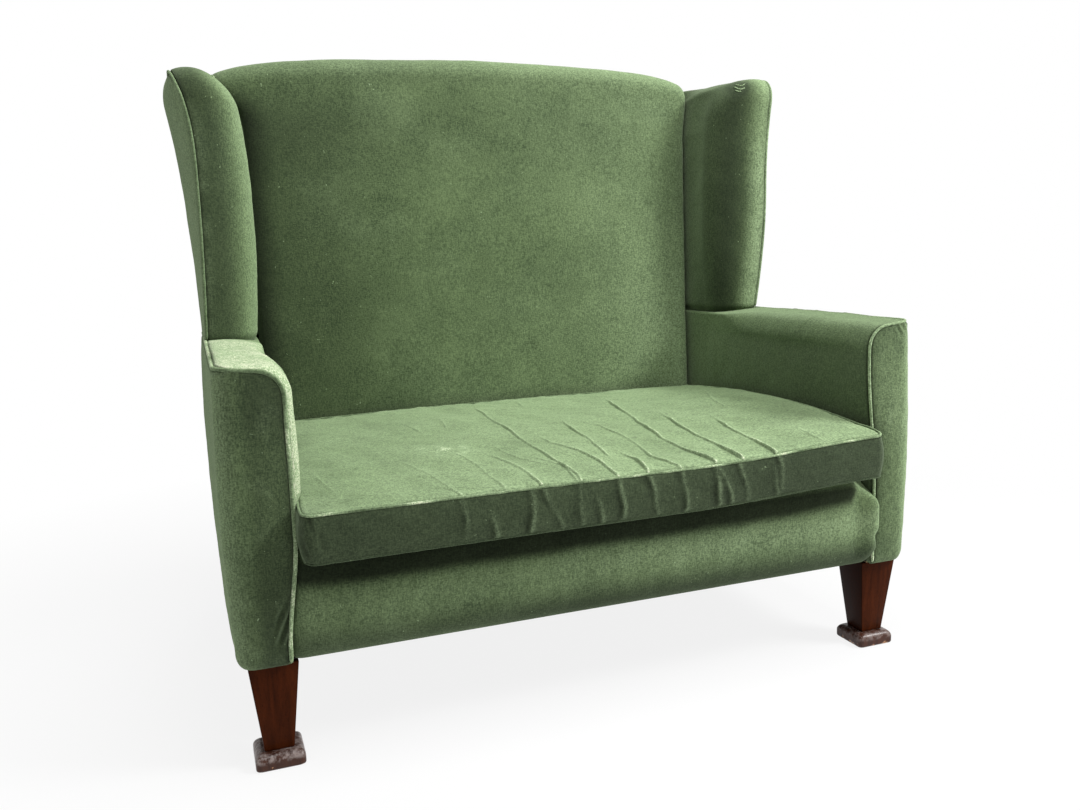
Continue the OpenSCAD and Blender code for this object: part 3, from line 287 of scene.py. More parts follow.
class Panel:
    """A cloth panel on a grid, with distances from its edges and marks for the material."""

    def __init__(self, grid):
        normal = np.cross(np.gradient(grid, axis=1), np.gradient(grid, axis=0))
        self.grid = grid
        self.normal = normal / np.maximum(np.linalg.norm(normal, axis=2, keepdims=True), 1e-9)
        self.left = along(grid, 1)
        self.right = self.left[:, -1:] - self.left
        self.low = along(grid, 0)
        self.top = self.low[-1:] - self.low
        self.edge = np.minimum(np.minimum(self.left, self.right), np.minimum(self.low, self.top))
        self.wear, self.shade, self.nap_and_shade = np.zeros((3,) + self.left.shape)

    def turn_in(self, run=0.014, drop=0.008, sides=("left", "right", "low", "top")):
        """Turns the named edges in to their seams, and paints shade into the seams."""
        for side in sides:
            distance = getattr(self, side)
            self.relief(-tuck(distance, run, drop))
            self.darken(SEAM_DARK * np.exp(-distance / SEAM_DARK_W))

    def relief(self, height):
        self.grid = self.grid + self.normal * height[..., None]

    def darken(self, amount):
        self.shade = np.maximum(self.shade, amount)


# Meshes

def make_mesh(name, points, faces, hand="right", marks=None):
    """A smooth mesh from a right-hand piece's points, mirrored for the left hand."""
    points = np.array(points, float) + (0, FRONT_Y, 0)
    if hand == "left":
        points[:, 0] *= -1
        faces = [f[::-1] for f in faces]
    mesh = bpy.data.meshes.new(name)
    mesh.from_pydata(points.tolist(), [], faces)
    mesh.update()
    for key, values in (marks or {}).items():
        mark_points(mesh, key, values)
    mesh.shade_smooth()
    piece = bpy.data.objects.new(name, mesh)
    bpy.context.scene.collection.objects.link(piece)
    return piece


def mark_points(mesh, key, values):
    mesh.attributes.new(key, "FLOAT", "POINT").data.foreach_set("value", np.asarray(values, np.float32))


def quads(rows, columns, start=0):
    i = np.arange(rows - 1)[:, None] * columns + np.arange(columns - 1)[None, :] + start
    return np.stack([i, i + 1, i + columns + 1, i + columns], -1).reshape(-1, 4)


def outline(rows, columns):
    """The numbers of a grid's outer points, counter-clockwise from its first."""
    i = np.arange(rows * columns).reshape(rows, columns)
    return np.concatenate([i[0], i[1:, -1], i[-1, -2::-1], i[-2:0:-1, 0]])


def band(low, high):
    """Faces between two closed rings of point numbers."""
    return np.stack([low, np.roll(low, -1), np.roll(high, -1), high], -1).tolist()


def loft_faces(rings, n, closed=False):
    """Faces over rings of n points each, with end caps where the loft isn't closed."""
    ring = np.arange(n)
    faces = [] if closed else [ring[::-1].tolist(), (ring + (rings - 1) * n).tolist()]
    for i in range(rings if closed else rings - 1):
        faces += band(ring + i * n, ring + (i + 1) % rings * n)
    return faces


def set_material(piece, material):
    piece.data.materials.clear()
    piece.data.materials.append(material)


def dress(piece, material, body="settee"):
    set_material(piece, material)
    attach(piece, body)


def panel_piece(name, panel, depth, hand="right"):
    """A closed solid between the panel and the same grid moved in by the depth."""
    rows, columns = panel.left.shape
    count = rows * columns
    rim = outline(rows, columns)
    faces = quads(rows, columns).tolist() + quads(rows, columns, count)[:, ::-1].tolist()
    faces += band(rim + count, rim)
    points = np.concatenate([panel.grid, panel.grid - panel.normal * depth]).reshape(-1, 3)
    marks = {key: np.tile(getattr(panel, key).ravel(), 2) for key in MARKS}
    return make_mesh(name, points, faces, hand, marks)


def cover(name, panel, depth, nodes, hand="right"):
    """A padded velvet cover that stands for CAD nodes."""
    piece = panel_piece(name, panel, depth, hand)
    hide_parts(*nodes)
    dress(piece, VELVET)


def tube(name, path, r, reference, nodes=(), body="settee", *, wear, nap_and_shade=0.0, hand="right", closed=False,
         sides=12):
    """A round velvet cord along a path, a little uneven, as piping is over its cord."""
    path = np.asarray(path, float)
    n = len(path)
    direction = np.roll(path, -1, 0) - np.roll(path, 1, 0) if closed else np.gradient(path, axis=0)
    direction /= np.linalg.norm(direction, axis=1, keepdims=True)
    side = np.cross(direction, reference)
    side /= np.linalg.norm(side, axis=1, keepdims=True)
    up = np.cross(side, direction)
    thick = r * (1 + 0.05 * noise(path, 0.03, seed=len(name)))
    if not closed:
        thick[[0, -1]] *= 0.55
    a = (np.arange(sides) * 2 * np.pi / sides)[None, :, None]
    ring = path[:, None] + thick[:, None, None] * (np.cos(a) * side[:, None] + np.sin(a) * up[:, None])
    worn_and_lit = limit(wear * (1 + 0.7 * noise(path, 0.12, seed=len(name) + 3)))
    marks = {"wear": np.repeat(worn_and_lit, sides), "nap_and_shade": np.full(n * sides, nap_and_shade)}
    piece = make_mesh(name, ring.reshape(-1, 3), loft_faces(n, sides, closed), hand, marks)
    if nodes:
        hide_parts(*nodes)
    dress(piece, PIPING_CLOTH, body)


# Materials

def dimmed(colour, share):
    return tuple(share * c for c in colour[:3]) + (1,)


class Wire:
    """A node's output, with sums and products that add Math nodes."""

    def __init__(self, nodes, socket):
        self.nodes = nodes
        self.socket = socket

    def __add__(self, other):
        return self.nodes.math("ADD", self, other)

    def __mul__(self, other):
        return self.nodes.math("MULTIPLY", self, other)

    def held(self, other):
        """The product, kept between 0 and 1."""
        return self.nodes.math("MULTIPLY", self, other, use_clamp=True)


class Nodes:
    """Short calls for building a node tree."""

    def __init__(self, tree):
        self.tree = tree

    def add(self, kind, inputs=None, **settings):
        node = self.tree.nodes.new(kind)
        for key, value in settings.items():
            setattr(node, key, value)
        self.fill(node, inputs or {})
        return node

    def fill(self, node, inputs):
        for key, value in inputs.items():
            if isinstance(value, Wire):
                self.tree.links.new(value.socket, node.inputs[key])
            else:
                node.inputs[key].default_value = value

    def out(self, kind, output, inputs=None, **settings):
        return Wire(self, self.add(kind, inputs, **settings).outputs[output])

    def math(self, operation, a, b, **settings):
        return self.out("ShaderNodeMath", 0, {0: a, 1: b}, operation=operation, **settings)

    def place(self):
        return self.out("ShaderNodeTexCoord", "Object")

    def mark(self, key):
        return self.out("ShaderNodeAttribute", "Fac", attribute_name=key)

    def noise(self, vector, scale, detail=3.0, rough=0.55, distortion=0.0):
        return self.out("ShaderNodeTexNoise", "Fac", {"Vector": vector, "Scale": scale, "Detail": detail,
                                                      "Roughness": rough, "Distortion": distortion})

    def stretched(self, vector, scale):
        return self.out("ShaderNodeMapping", "Vector", {"Vector": vector, "Scale": scale})

    def span(self, value, low, high, to_low=0.0, to_high=1.0):
        return self.out("ShaderNodeMapRange", "Result", {"Value": value, "From Min": low, "From Max": high,
                                                         "To Min": to_low, "To Max": to_high})

    def mix(self, factor, a, b):
        return self.out("ShaderNodeMix", "Result", {"Factor": factor, "A": a, "B": b}, data_type="RGBA")

    def scaled(self, colour, amount):
        return self.out("ShaderNodeVectorMath", "Vector", {0: colour[:3], "Scale": amount}, operation="SCALE")

    def bump(self, height, strength, distance):
        return self.out("ShaderNodeBump", "Normal",
                        {"Height": height, "Strength": strength, "Distance": distance})

    def background(self, kind, strength, other, share):
        """White of the given strength, mixed over the other shader by the share."""
        white = self.out(kind, 0, {"Color": WHITE, "Strength": strength})
        return self.out("ShaderNodeMixShader", 0, {0: share, 1: other, 2: white})

    def seen(self):
        """1 where the camera looks, by itself or through gloss or glass."""
        ray = self.add("ShaderNodeLightPath").outputs
        names = ("Is Camera Ray", "Is Glossy Ray", "Is Transmission Ray")
        camera, gloss, glass = [Wire(self, ray[name]) for name in names]
        return self.math("MAXIMUM", camera, self.math("MAXIMUM", gloss, glass))


class Material(Nodes):
    """A new material's nodes, with its Principled shader."""

    def __init__(self, name):
        self.data = bpy.data.materials.new(name)
        self.data.use_nodes = True
        super().__init__(self.data.node_tree)
        self.shader = self.tree.nodes["Principled BSDF"]

    def surface(self, inputs):
        self.fill(self.shader, inputs)
        return self.data


def velvet(name, mid, weave=1.0):
    """Cut-pile velvet: streaks along its threads, brushed patches, a painted sheen, and marks for wear with
    painted highlights, for painted shade, and for the nap with painted shade.
    """
    m = Material(name)
    place = m.place()
    runs = [m.noise(m.stretched(place, scale), 1.0, 2.0)
            for scale in ((150, 430, 430), (430, 430, 120), (430, 150, 430))]
    threads = m.span(runs[0] + runs[1] + runs[2], 1.24, 1.76)
    brushed = m.noise(place, 7.0, 3.0, 0.5)
    patches = m.noise(place, 24.0, 4.0, 0.6)
    tone = m.span(threads * (0.40 * weave) + brushed * 0.46 + patches * 0.22, 0.26, 0.78)
    wear, shade, nap_and_shade = [m.mark(key) for key in MARKS]
    colour = m.mix(tone, VELVET_DARK, mid)
    normal = m.bump(threads * 0.7 + patches * 0.5, 0.35, 0.0006)
    # Painted sheen: the base colour is paler where the cloth turns away from the view
    turned = m.out("ShaderNodeLayerWeight", "Facing", {"Blend": 0.5, "Normal": normal})
    painted_sheen = m.math("POWER", turned, 0.8) * PAINTED_SHEEN_SHARE
    colour = m.mix(painted_sheen, colour, m.scaled(PAINTED_SHEEN_COLOUR, m.span(threads, 0, 1, 0.62, 1.38)))
    # Darker where the nap lies the other way, and painted shade: both come from the nap mark
    colour = m.mix(nap_and_shade.held(0.95), colour, m.mix(0.82, colour, VELVET_NAP_AND_SHADE))
    # Paler where the cloth is worn and where highlights are painted, both from the wear mark; palest where
    # the mark is strongest
    broken = m.span(patches * 0.6 + threads * 0.5, 0.25, 0.85)
    paled = wear.held(m.span(broken, 0, 1, 0.55, 1.25))
    colour = m.mix(paled, colour, m.scaled(VELVET_PALE, m.span(threads, 0, 1, 0.78, 1.20)))
    colour = m.mix(m.span(wear * broken, 0.45, 0.75), colour, VELVET_WORN_HIGHLIGHT)
    lint = m.span(m.noise(place, 190.0, 1.0), 0.735, 0.765) * m.span(patches, 0.50, 0.56)
    colour = m.mix(lint * 0.45, colour, VELVET_PALE)
    # Painted shade: the shade mark takes the colour nearly to black
    colour = m.mix(shade.held(0.77), colour, dimmed(VELVET_DARK, 0.02))
    return m.surface({"Base Color": colour, "Normal": normal, "Roughness": 0.95, "Specular IOR Level": 0.10,
                      "Sheen Weight": 0.28, "Sheen Roughness": 0.5, "Sheen Tint": VELVET_SHEEN})


def wood(name, dark, mid, roughness, gloss, chipped=False):
    """Stained or bare wood with its grain and pores. Chipped wood gets chips, and grey scuffs that also paint
    a reflection on the upper rounding where the shade mark says so; other wood gets painted shade where that
    mark says so.
    """
    m = Material(name)
    place = m.place()
    grain = m.noise(m.stretched(place, (46, 46, 4)), 1.6, 6.0, 0.65, 0.6)
    pores = m.noise(m.stretched(place, (900, 900, 60)), 1.0, 2.0)
    tone = m.span(grain * 0.8 + m.noise(place, 6.0, 2.0) * 0.25, 0.30, 0.75)
    colour = m.mix(m.span(pores, 0.55, 0.75, 0, 0.5), m.mix(tone, dark, mid), dimmed(dark, 0.35))
    if chipped:
        # Scuffs, and a painted grey reflection, where the shade mark picks out the upper rounding
        scuff_and_reflection = m.span(m.noise(place, 95.0, 5.0, 0.7), 0.44, 0.60, 0, 0.75) * m.mark("shade")
        colour = m.mix(scuff_and_reflection, colour, SCUFF_AND_REFLECTION_COLOUR)
        bare = m.span(m.mark("wear") * 0.9 + m.noise(place, 160.0, 4.0, 0.7) * 0.6, 0.74, 0.84)
        colour = m.mix(bare, colour, BARE_WOOD)
    else:
        # Painted shade where the shade mark says so
        colour = m.mix(m.mark("shade") * 0.80, colour, dimmed(dark, 0.3))
    return m.surface({"Base Color": colour, "Normal": m.bump(grain + pores * 0.5, 0.12, 0.0008),
                      "Roughness": m.span(grain, 0.3, 0.7, roughness - 0.06, roughness + 0.10),
                      "Specular IOR Level": gloss})


def weave_cloth(name, dark, pale, threads_per_metre):
    """Plain woven cloth: two crossed thread waves, with slubs."""
    m = Material(name)
    place = m.place()
    slub = m.noise(place, 70.0, 4.0, 0.6)
    wave = {"Vector": place, "Scale": threads_per_metre / 20, "Distortion": 1.5, "Detail": 2.0}
    x, y, z = [m.out("ShaderNodeTexWave", "Fac", wave, bands_direction=axis) for axis in "XYZ"]
    cross = m.math("MAXIMUM", x, y) * m.math("MAXIMUM", y, z)
    return m.surface({"Base Color": m.mix(m.span(cross * 0.6 + slub * 0.6, 0.2, 0.9), dark, pale),
                      "Normal": m.bump(cross, 0.4, 0.0006), "Roughness": 0.95})


def steel(name, colour):
    m = Material(name)
    spots = m.noise(m.place(), 120.0, 4.0)
    return m.surface({"Base Color": m.mix(m.span(spots, 0.45, 0.7), colour, RUST),
                      "Roughness": m.span(spots, 0.3, 0.7, 0.3, 0.5), "Metallic": 1.0})


def filling(name, dark, pale):
    m = Material(name)
    hair = m.noise(m.place(), 90.0, 6.0, 0.5, 2.0)
    return m.surface({"Base Color": m.mix(m.span(hair, 0.3, 0.7), dark, pale),
                      "Normal": m.bump(hair, 0.5, 0.002), "Roughness": 1.0})


# The settee's form, shared by the pieces

def crest(x):
    s = limit(np.abs(x) / np.where(x < 0, BACK_TOP_LEFT, BACK_TOP_HALF))
    return CREST_H - CREST_FALL * s ** 2 - SHOULDER_FALL * s ** 8


def back_rise(z):
    """The share of the way up the inside back."""
    return (z - BACK_LOW_H) / (CREST_H - BACK_LOW_H)


def back_face_y(z):
    return BACK_Y + BACK_LEAN * back_rise(z)


def back_half_at(z, hand):
    out = BACK_LEFT_OUT * smooth(TOP_FROM, TOP_TO, z) if hand == "left" else 0
    return BACK_HALF + BACK_FLARE * limit((z - CREST_H + 0.172) / 0.130) + out


def wing_t(z):
    return limit((z - ARM_H) / WING_RISE)


def wing_edge_x(z, hand):
    foot, swing, share, lean, flare, start, power = WING_RIM[hand]
    t = wing_t(z)
    return (foot + swing * np.sin(np.pi / 2 * np.minimum(1, t / share)) + lean * t
            + flare * np.maximum(0, (t - start) / (1 - start)) ** power)


def wing_rear_x(z):
    return HALF_W + WING_LEAN_REAR * wing_t(z) ** 1.6


def wing_inner_x(z):
    t = wing_t(z)
    waist = WING_INNER_WAIST * np.sin(np.pi / 2 * np.minimum(1, t / 0.4))
    flare = WING_INNER_FLARE * np.maximum(0, (t - 0.55) / 0.45) ** 1.8
    return HALF_W - WING_THICK - waist + flare + WING_TOP_OUT * smooth(TOP_FROM, TOP_TO, z) ** 1.5


def wing_face_x(y, z, hand):
    s = smooth(WING_Y + 0.5 * WING_ROLL, BACK_Y, y)
    return lerp(wing_inner_x(z), back_half_at(z, hand) + WING_SEAM_GAP, s)


def wing_rim_x(y, z, hand):
    high, top_y = WING_HIGH[hand], WING_Y + WING_ROUND[hand]
    over = (y - top_y) / (COVER_BACK - top_y)
    along_top = lerp(wing_edge_x(high, hand), wing_rear_x(high), over)
    return np.where(y > top_y, along_top, wing_edge_x(z, hand))


def wing_edge(hand):
    """The wing's outer edge as rows of y and z: up the front, round the corner and back along the top."""
    side, corner, top = WING_ROWS
    high, r = WING_HIGH[hand], WING_ROUND[hand]
    up = np.column_stack([np.full(side, WING_Y), np.linspace(ARM_H, high - r, side)])
    over = np.linspace(0, 1, top + 1)[1:]
    back = np.column_stack([lerp(WING_Y + r, COVER_BACK, over), lerp(high, WING_REAR_H, over ** 1.3)])
    return np.concatenate([up, arc((WING_Y + r, high - r), r, 180, 90, corner + 1)[1:], back])


def wing_panel_top(y, hand):
    high, top_y = WING_HIGH[hand], WING_Y + WING_ROUND[hand]
    r = WING_ROUND[hand] - SEAM_IN - PIPING_OUT
    round_part = high - WING_ROUND[hand] + np.sqrt(np.maximum(0, r ** 2 - (top_y - y) ** 2))
    over = limit((y - top_y) / (COVER_BACK - top_y))
    return np.where(y < top_y, round_part, lerp(high, WING_REAR_H, over ** 1.3) - SEAM_IN)


def arm_front_x(z, hand):
    place, out, above, below = ARM_SEAM[hand]
    return place + out * smooth(above, below, z)


def arm_face_x(y, z, hand):
    s = limit(y / BACK_Y)
    swell = ARM_SWELL * np.sin(np.pi * s) * np.sin(np.pi * limit((z - DECK_H) / (ARM_FACE_TOP - DECK_H)))
    return lerp(arm_front_x(z, hand), ARM_REAR_X, s) - swell


def arm_top(x):
    return ARM_H - ARM_FALL * limit((HALF_W - x) / ARM_W)


def arm_outer_x(y):
    inside = np.sqrt(np.maximum(0, (ARM_CORNER_R - SEAM_IN) ** 2 - (ARM_CORNER_R - y) ** 2))
    return np.where(y > ARM_CORNER_R, HALF_W - SEAM_IN, HALF_W - ARM_CORNER_R + inside)


def facing_round(hand):
    """The middle of the round at the facing's inner top corner, as x and z."""
    centre_x = arm_front_x(ARM_FACE_TOP, hand) + ARM_ROUND
    return centre_x, arm_top(centre_x) - ARM_ROUND


# Covers and pipings

def inside_back():
    """The inside back, over the crest's roll and down to the outside back."""
    s = np.concatenate([[-1], -0.985 + 1.97 * spread(150, 0.35), [1]])[None]
    top_half = np.where(s < 0, BACK_TOP_LEFT, BACK_TOP_HALF) - SLIP
    top = crest(s * top_half)
    roll_z = top - CREST_ROLL
    roll_y = back_face_y(roll_z) + CREST_ROLL
    face_z = lerp(BACK_LOW_H, roll_z, spread(120, 0.2)[:, None])
    a = np.linspace(np.pi, np.pi / 2, 25)[1:, None]
    over = np.linspace(0, 1, 14)[1:, None]
    z = np.concatenate([face_z, roll_z + CREST_ROLL * np.sin(a), top - REAR_DIP * over])
    y = np.concatenate([back_face_y(face_z), roll_y + CREST_ROLL * np.cos(a), lerp(roll_y, COVER_BACK, over)])
    y = y - BACK_SWELL * np.sin(np.pi * limit(back_rise(z))) * (1 - s ** 4) * (z < roll_z + 0.02)
    half = np.where(s < 0, back_half_at(z, "left"), back_half_at(z, "right"))
    x = s * np.minimum(half, top_half)
    panel = Panel(grid_of(x, y, z))
    panel.turn_in(0.026, lerp(0.017, 0.006, smooth(0.720, 0.755, y)), ("left", "right"))
    panel.turn_in(0.006, 0.003, ("top",))
    panel.relief(0.0018 * noise(panel.grid, 0.42, seed=4) + 0.0004 * noise(panel.grid, 0.10, seed=5))
    # A shallow pull line where the covers are drawn down behind the cushion
    panel.relief(-0.004 * bump(panel.low, 0.075, 0.03) * (1 - s ** 6))
    # Painted highlights over the crest, toward the right and low in the middle, with a little random wear;
    # the nap mark paints shade over the left, high up and on the crest's left
    panel.wear = (0.10 * smooth(1.19, 1.27, panel.grid[..., 2]) + 0.05 * limit(noise(panel.grid, 0.3, seed=8))
                  + 0.075 * smooth(-0.1, 0.5, x) + 0.05 * smooth(0.85, 0.55, z) * smooth(-0.4, 0.0, x)
                  + 0.13 * smooth(0.20, 0.50, x) * smooth(0.98, 0.75, z)
                  + 0.14 * smooth(0.42, 0.52, x) * smooth(0.82, 0.66, z))
    panel.nap_and_shade = (0.60 * smooth(-0.10, -0.52, x) * smooth(1.24, 1.10, z)
                 + 0.22 * smooth(0.95, 1.12, z) * (1 - 0.4 * smooth(0.2, 0.5, x))
                 + 0.24 * smooth(1.19, 1.25, z) * smooth(0.1, -0.2, x))
    # Hidden from the light beside the wings
    panel.darken(0.95 * smooth(0.075, 0.010, panel.left) * smooth(1.24, 1.12, z))
    beside = smooth(0.055, 0.015, panel.right) * smooth(1.20, 1.10, z) * smooth(0.72, 0.95, z)
    panel.nap_and_shade = np.maximum(panel.nap_and_shade, 0.36 * beside)
    cover("inside_back", panel, 0.014, ("inside_back_cover", "back_stuffing"))


def stitched_tucks(panel, hand):
    """Short bowed threads that lie on the cover, in the folds that they hold."""
    across = panel.right[:, ::-1]
    proud = (panel.grid + 0.0006 * panel.normal)[:, ::-1]
    for k, ends in enumerate(WING_TUCKS[hand]):
        points = []
        for t in np.linspace(0, 1, 17):
            row, inward = np.array([(1 - t) ** 2, 2 * t * (1 - t), t * t]) @ ends
            near = [[np.interp(inward, across[r], line) for line in proud[r].T]
                    for r in (int(row), int(row) + 1)]
            points.append(lerp(*np.array(near), row % 1))
        # The threads are pale, partly a painted highlight on the folds that they hold
        tube("wing_tuck_%s_%d" % (hand, k + 1), points, 0.0013, (1, 0.3, 0), hand=hand, sides=8, wear=0.62)


def inside_wing(hand):
    """The wing's inside, from the rim over its roll and back to the inside back."""
    side, corner, top = WING_ROWS
    edge = wing_edge(hand)
    row = np.arange(len(edge))
    end_y = lerp(ARM_END_Y, COVER_BACK, limit((row - side + 1) / (corner + top * 0.7)))
    end_z = np.minimum(edge[:, 1], WING_HIGH[hand] - WING_ROUND[hand] - 0.015)
    over = smooth(side + corner + top * 0.35, side + corner + top * 0.68, row)
    end = np.stack([end_y, lerp(end_z, WING_REAR_H - 0.007, over)], -1)
    length = np.linalg.norm(end - edge, axis=1)[:, None]
    direction = (end - edge) / length
    roll = np.minimum(WING_ROLL, 0.8 * length)
    rolled = np.linspace(0, np.pi / 2, 60)[None]
    flat = spread(56, 0.15)[None, 1:]
    crown = WING_CROWN[hand] * smooth(side - 14, side + 0.6 * corner, row)[:, None] * (roll / WING_ROLL)
    on_roll = roll * (1 - np.cos(rolled)) - crown * np.sin(2 * rolled) ** 0.85
    q = np.concatenate([on_roll, lerp(roll, length, flat)], 1)
    yz = edge[:, None] + direction[:, None] * q[..., None]
    face = wing_face_x(yz[..., 0], yz[..., 1], hand)
    rim = (wing_rim_x(edge[:, 0], edge[:, 1], hand) - SEAM_IN)[:, None]
    share = np.concatenate([np.sin(rolled) ** 1.15, np.ones(flat.shape)], 1)
    grid = np.dstack([lerp(rim, face, share), yz])[:, ::-1]
    grid[0, :, 2] = arm_top(grid[0, :, 0]) + SLIP
    panel = Panel(grid)
    panel.turn_in(0.010, 0.006, ("low",))
    # At the rear top corner the cover laps over the end of the back, so that no wood shows
    at_corner = smooth(0.685, 0.730, grid[..., 1])
    panel.turn_in(0.020, lerp(0.012, 0.002, at_corner), ("left",))
    panel.turn_in(0.0035, 0.0015, ("right",))
    panel.grid[..., 0] -= 0.014 * at_corner * smooth(0.012, 0.0, panel.left)
    panel.relief(0.0012 * noise(grid, 0.2, seed=11) + 0.0003 * noise(grid, 0.05, seed=12))
    # A little wear along the rim, and painted light and shade on the roll: on the left, painted shade beside
    # the rim and a painted highlight further in; on the right, painted shade over the roll and face and a
    # painted highlight along the rim; painted shade at the foot
    panel.wear = 0.10 * smooth(0.03, 0.0, panel.right) * smooth(-1, 1, noise(grid, 0.1, seed=14))
    if hand == "left":
        panel.nap_and_shade = 0.80 * smooth(0.100, 0.035, panel.right)
        panel.wear += 0.12 * smooth(0.07, 0.11, panel.right)
    else:
        panel.nap_and_shade = (0.62 * smooth(0.014, 0.066, panel.right) + 0.32 * bump(panel.right, 0.090, 0.034)
                     + 0.16 * bump(panel.right, 0.150, 0.022)
                     + 0.55 * bump(row[:, None], 93.0, 8.0) * bump(panel.right, 0.076, 0.022))
        panel.wear += lerp(0.34, 0.14, smooth(0.95, 1.15, grid[..., 2])) * smooth(0.055, 0.010, panel.right)
    panel.darken(0.5 * smooth(0.010, 0.0, panel.low))
    nodes = ("inside_wing_cover_" + hand, "wing_stuffing_" + hand)
    cover("inside_wing_" + hand, panel, 0.008, nodes, hand)
    stitched_tucks(panel, hand)


def outside_wing(hand):
    s = spread(90, 0.7)[None] ** 1.25
    y = lerp(WING_Y + SEAM_IN, COVER_BACK, s)
    high = wing_panel_top(y, hand)
    z = lerp(ARM_H - 0.0035, high, spread(80, 0.4)[:, None])
    swell = (WING_SWELL_FOOT + WING_SWELL * wing_t(z) ** 1.5) * 4 * s * (1 - s)
    near_top = limit((high - z) / 0.070)
    x = lerp(wing_edge_x(z, hand), wing_rear_x(z), s) + swell * np.sin(np.pi / 2 * near_top) ** 0.7
    panel = Panel(grid_of(x, y, z))
    panel.turn_in(0.006, 0.0022, ("left", "top"))
    panel.turn_in(0.005, 0.0012, ("low",))
    panel.turn_in(0.008, 0.004, ("right",))
    panel.relief(0.0008 * noise(panel.grid, 0.15, seed=21))
    # The short seam across the panel's front edge, with painted shade in it, and the flatter strip beside the
    # piping, in painted shade
    seam = bump(panel.grid[..., 2], WING_SEAM_H, 0.0014) * smooth(0.05, 0.03, panel.left)
    panel.relief(-0.0012 * seam)
    panel.darken(0.7 * seam)
    panel.nap_and_shade = 0.45 * smooth(0.024, 0.006, panel.left)
    # A painted sheen on the left wing's outside, near its front edge
    if hand == "left":
        panel.wear = 0.26 * smooth(0.012, 0.045, panel.left) * smooth(0.20, 0.09, panel.left)
    cover("outside_wing_" + hand, panel, CLOTH_T, ("outside_wing_cover_" + hand,), hand)


def wing_piping(hand):
    edge = wing_edge(hand)
    step = np.gradient(edge, axis=0)
    step /= np.linalg.norm(step, axis=1, keepdims=True)
    yz = edge + PIPING_IN * np.stack([step[:, 1], -step[:, 0]], -1)
    path = np.column_stack([wing_rim_x(edge[:, 0], edge[:, 1], hand) - PIPING_IN, yz])
    path[0, 2] = ARM_H + SLIP + PIPING_R
    name = "wing_piping_" + hand
    # The right cord is paler: partly wear, partly a painted highlight
    worn_and_lit = 0.12 if hand == "left" else 0.30
    tube(name + "_cord", rounded_path([path]), PIPING_R, (1, 0, 0), (name,), hand=hand, wear=worn_and_lit)


def inside_arm(hand):
    """The arm's inner face, the round over it and the top out to the piping."""
    y = lerp(SEAM_IN, ARM_END_Y, spread(130, 0.35) ** 1.1)[None, ::-1]
    r = lerp(ARM_ROUND, ARM_REAR_ROUND, smooth(WING_Y - 0.10, WING_Y, y))
    cx = arm_face_x(y, ARM_H, hand) + r
    cz = arm_top(cx) - r
    below = np.linspace(SKIRT_H + 0.004, DECK_H, 12)[:-1, None] + 0 * y
    face_z = np.concatenate([below, lerp(DECK_H, cz, spread(70, 0.2)[:, None])])
    a = np.linspace(np.pi, np.pi / 2, 25)[1:, None]
    top_x = lerp(cx, arm_outer_x(y), np.linspace(0, 1, 22)[1:, None])
    x = np.concatenate([arm_face_x(y, face_z, hand), cx + r * np.cos(a), top_x])
    panel = Panel(grid_of(x, y, np.concatenate([face_z, cz + r * np.sin(a), arm_top(top_x)])))
    panel.turn_in(0.0035, 0.0015, ("top", "right"))
    panel.turn_in(0.016, 0.008, ("left",))
    grid = panel.grid
    x, y, z = xyz(grid)
    fullness = 0.0045 * np.sin(np.pi * limit(y / WING_Y)) * smooth(0.60, 0.64, z)
    panel.relief(fullness * smooth(WING_Y + 0.002, WING_Y - 0.03, y))
    # The stuffing swells up under the wing, and on the left out past the seam of the facing
    crowned = np.sin(np.pi * limit((HALF_W - x) / ARM_W)) * smooth(0.625, 0.655, z)
    by_wing = smooth(0.34, 0.50, y) * smooth(WING_Y + 0.12, WING_Y + 0.07, y)
    panel.relief(ARM_CROWN[hand] * crowned * by_wing)
    past = np.sqrt(smooth(0, 0.030, panel.right)) * smooth(0.36, 0.12, y) * smooth(0.420, 0.462, z)
    panel.relief(ARM_PAST_SEAM[hand] * past * lerp(0.25, 1.0, np.abs(panel.normal[..., 0])))
    panel.relief(0.0012 * noise(grid, 0.22, seed=31) + 0.0003 * noise(grid, 0.06, seed=32))
    # Slack creases across the top
    slant = y + 0.35 * x
    creases = ((0.42, 0.0012), (0.52, 0.0010), (0.60, 0.0010))
    slack = sum(h * bump(slant, place, 0.006) for place, h in creases)
    panel.relief(slack * smooth(0.62, 0.66, z))
    face = smooth(0.640, 0.600, z)
    # The left arm's top and the front of its inner face are made paler; on the right the nap mark paints
    # shade over the panel, most on the inner face
    if hand == "left":
        paled = smooth(0.625, 0.660, z) * smooth(WING_Y + 0.02, WING_Y - 0.02, y)
        paled = paled * (0.85 + 0.15 * noise(grid, 0.12, seed=33))
        panel.wear = np.maximum(1.08 * paled + 0.34 * face * smooth(0.30, 0.0, y),
                                smooth(0.11, 0.05, y) * smooth(0.40, 0.46, z))
    else:
        panel.nap_and_shade = 0.32 + face * lerp(0.27, 0.10, smooth(0.30, 0.60, y))
    cover("inside_arm_" + hand, panel, 0.006, ("inside_arm_cover_" + hand, "arm_stuffing_" + hand), hand)


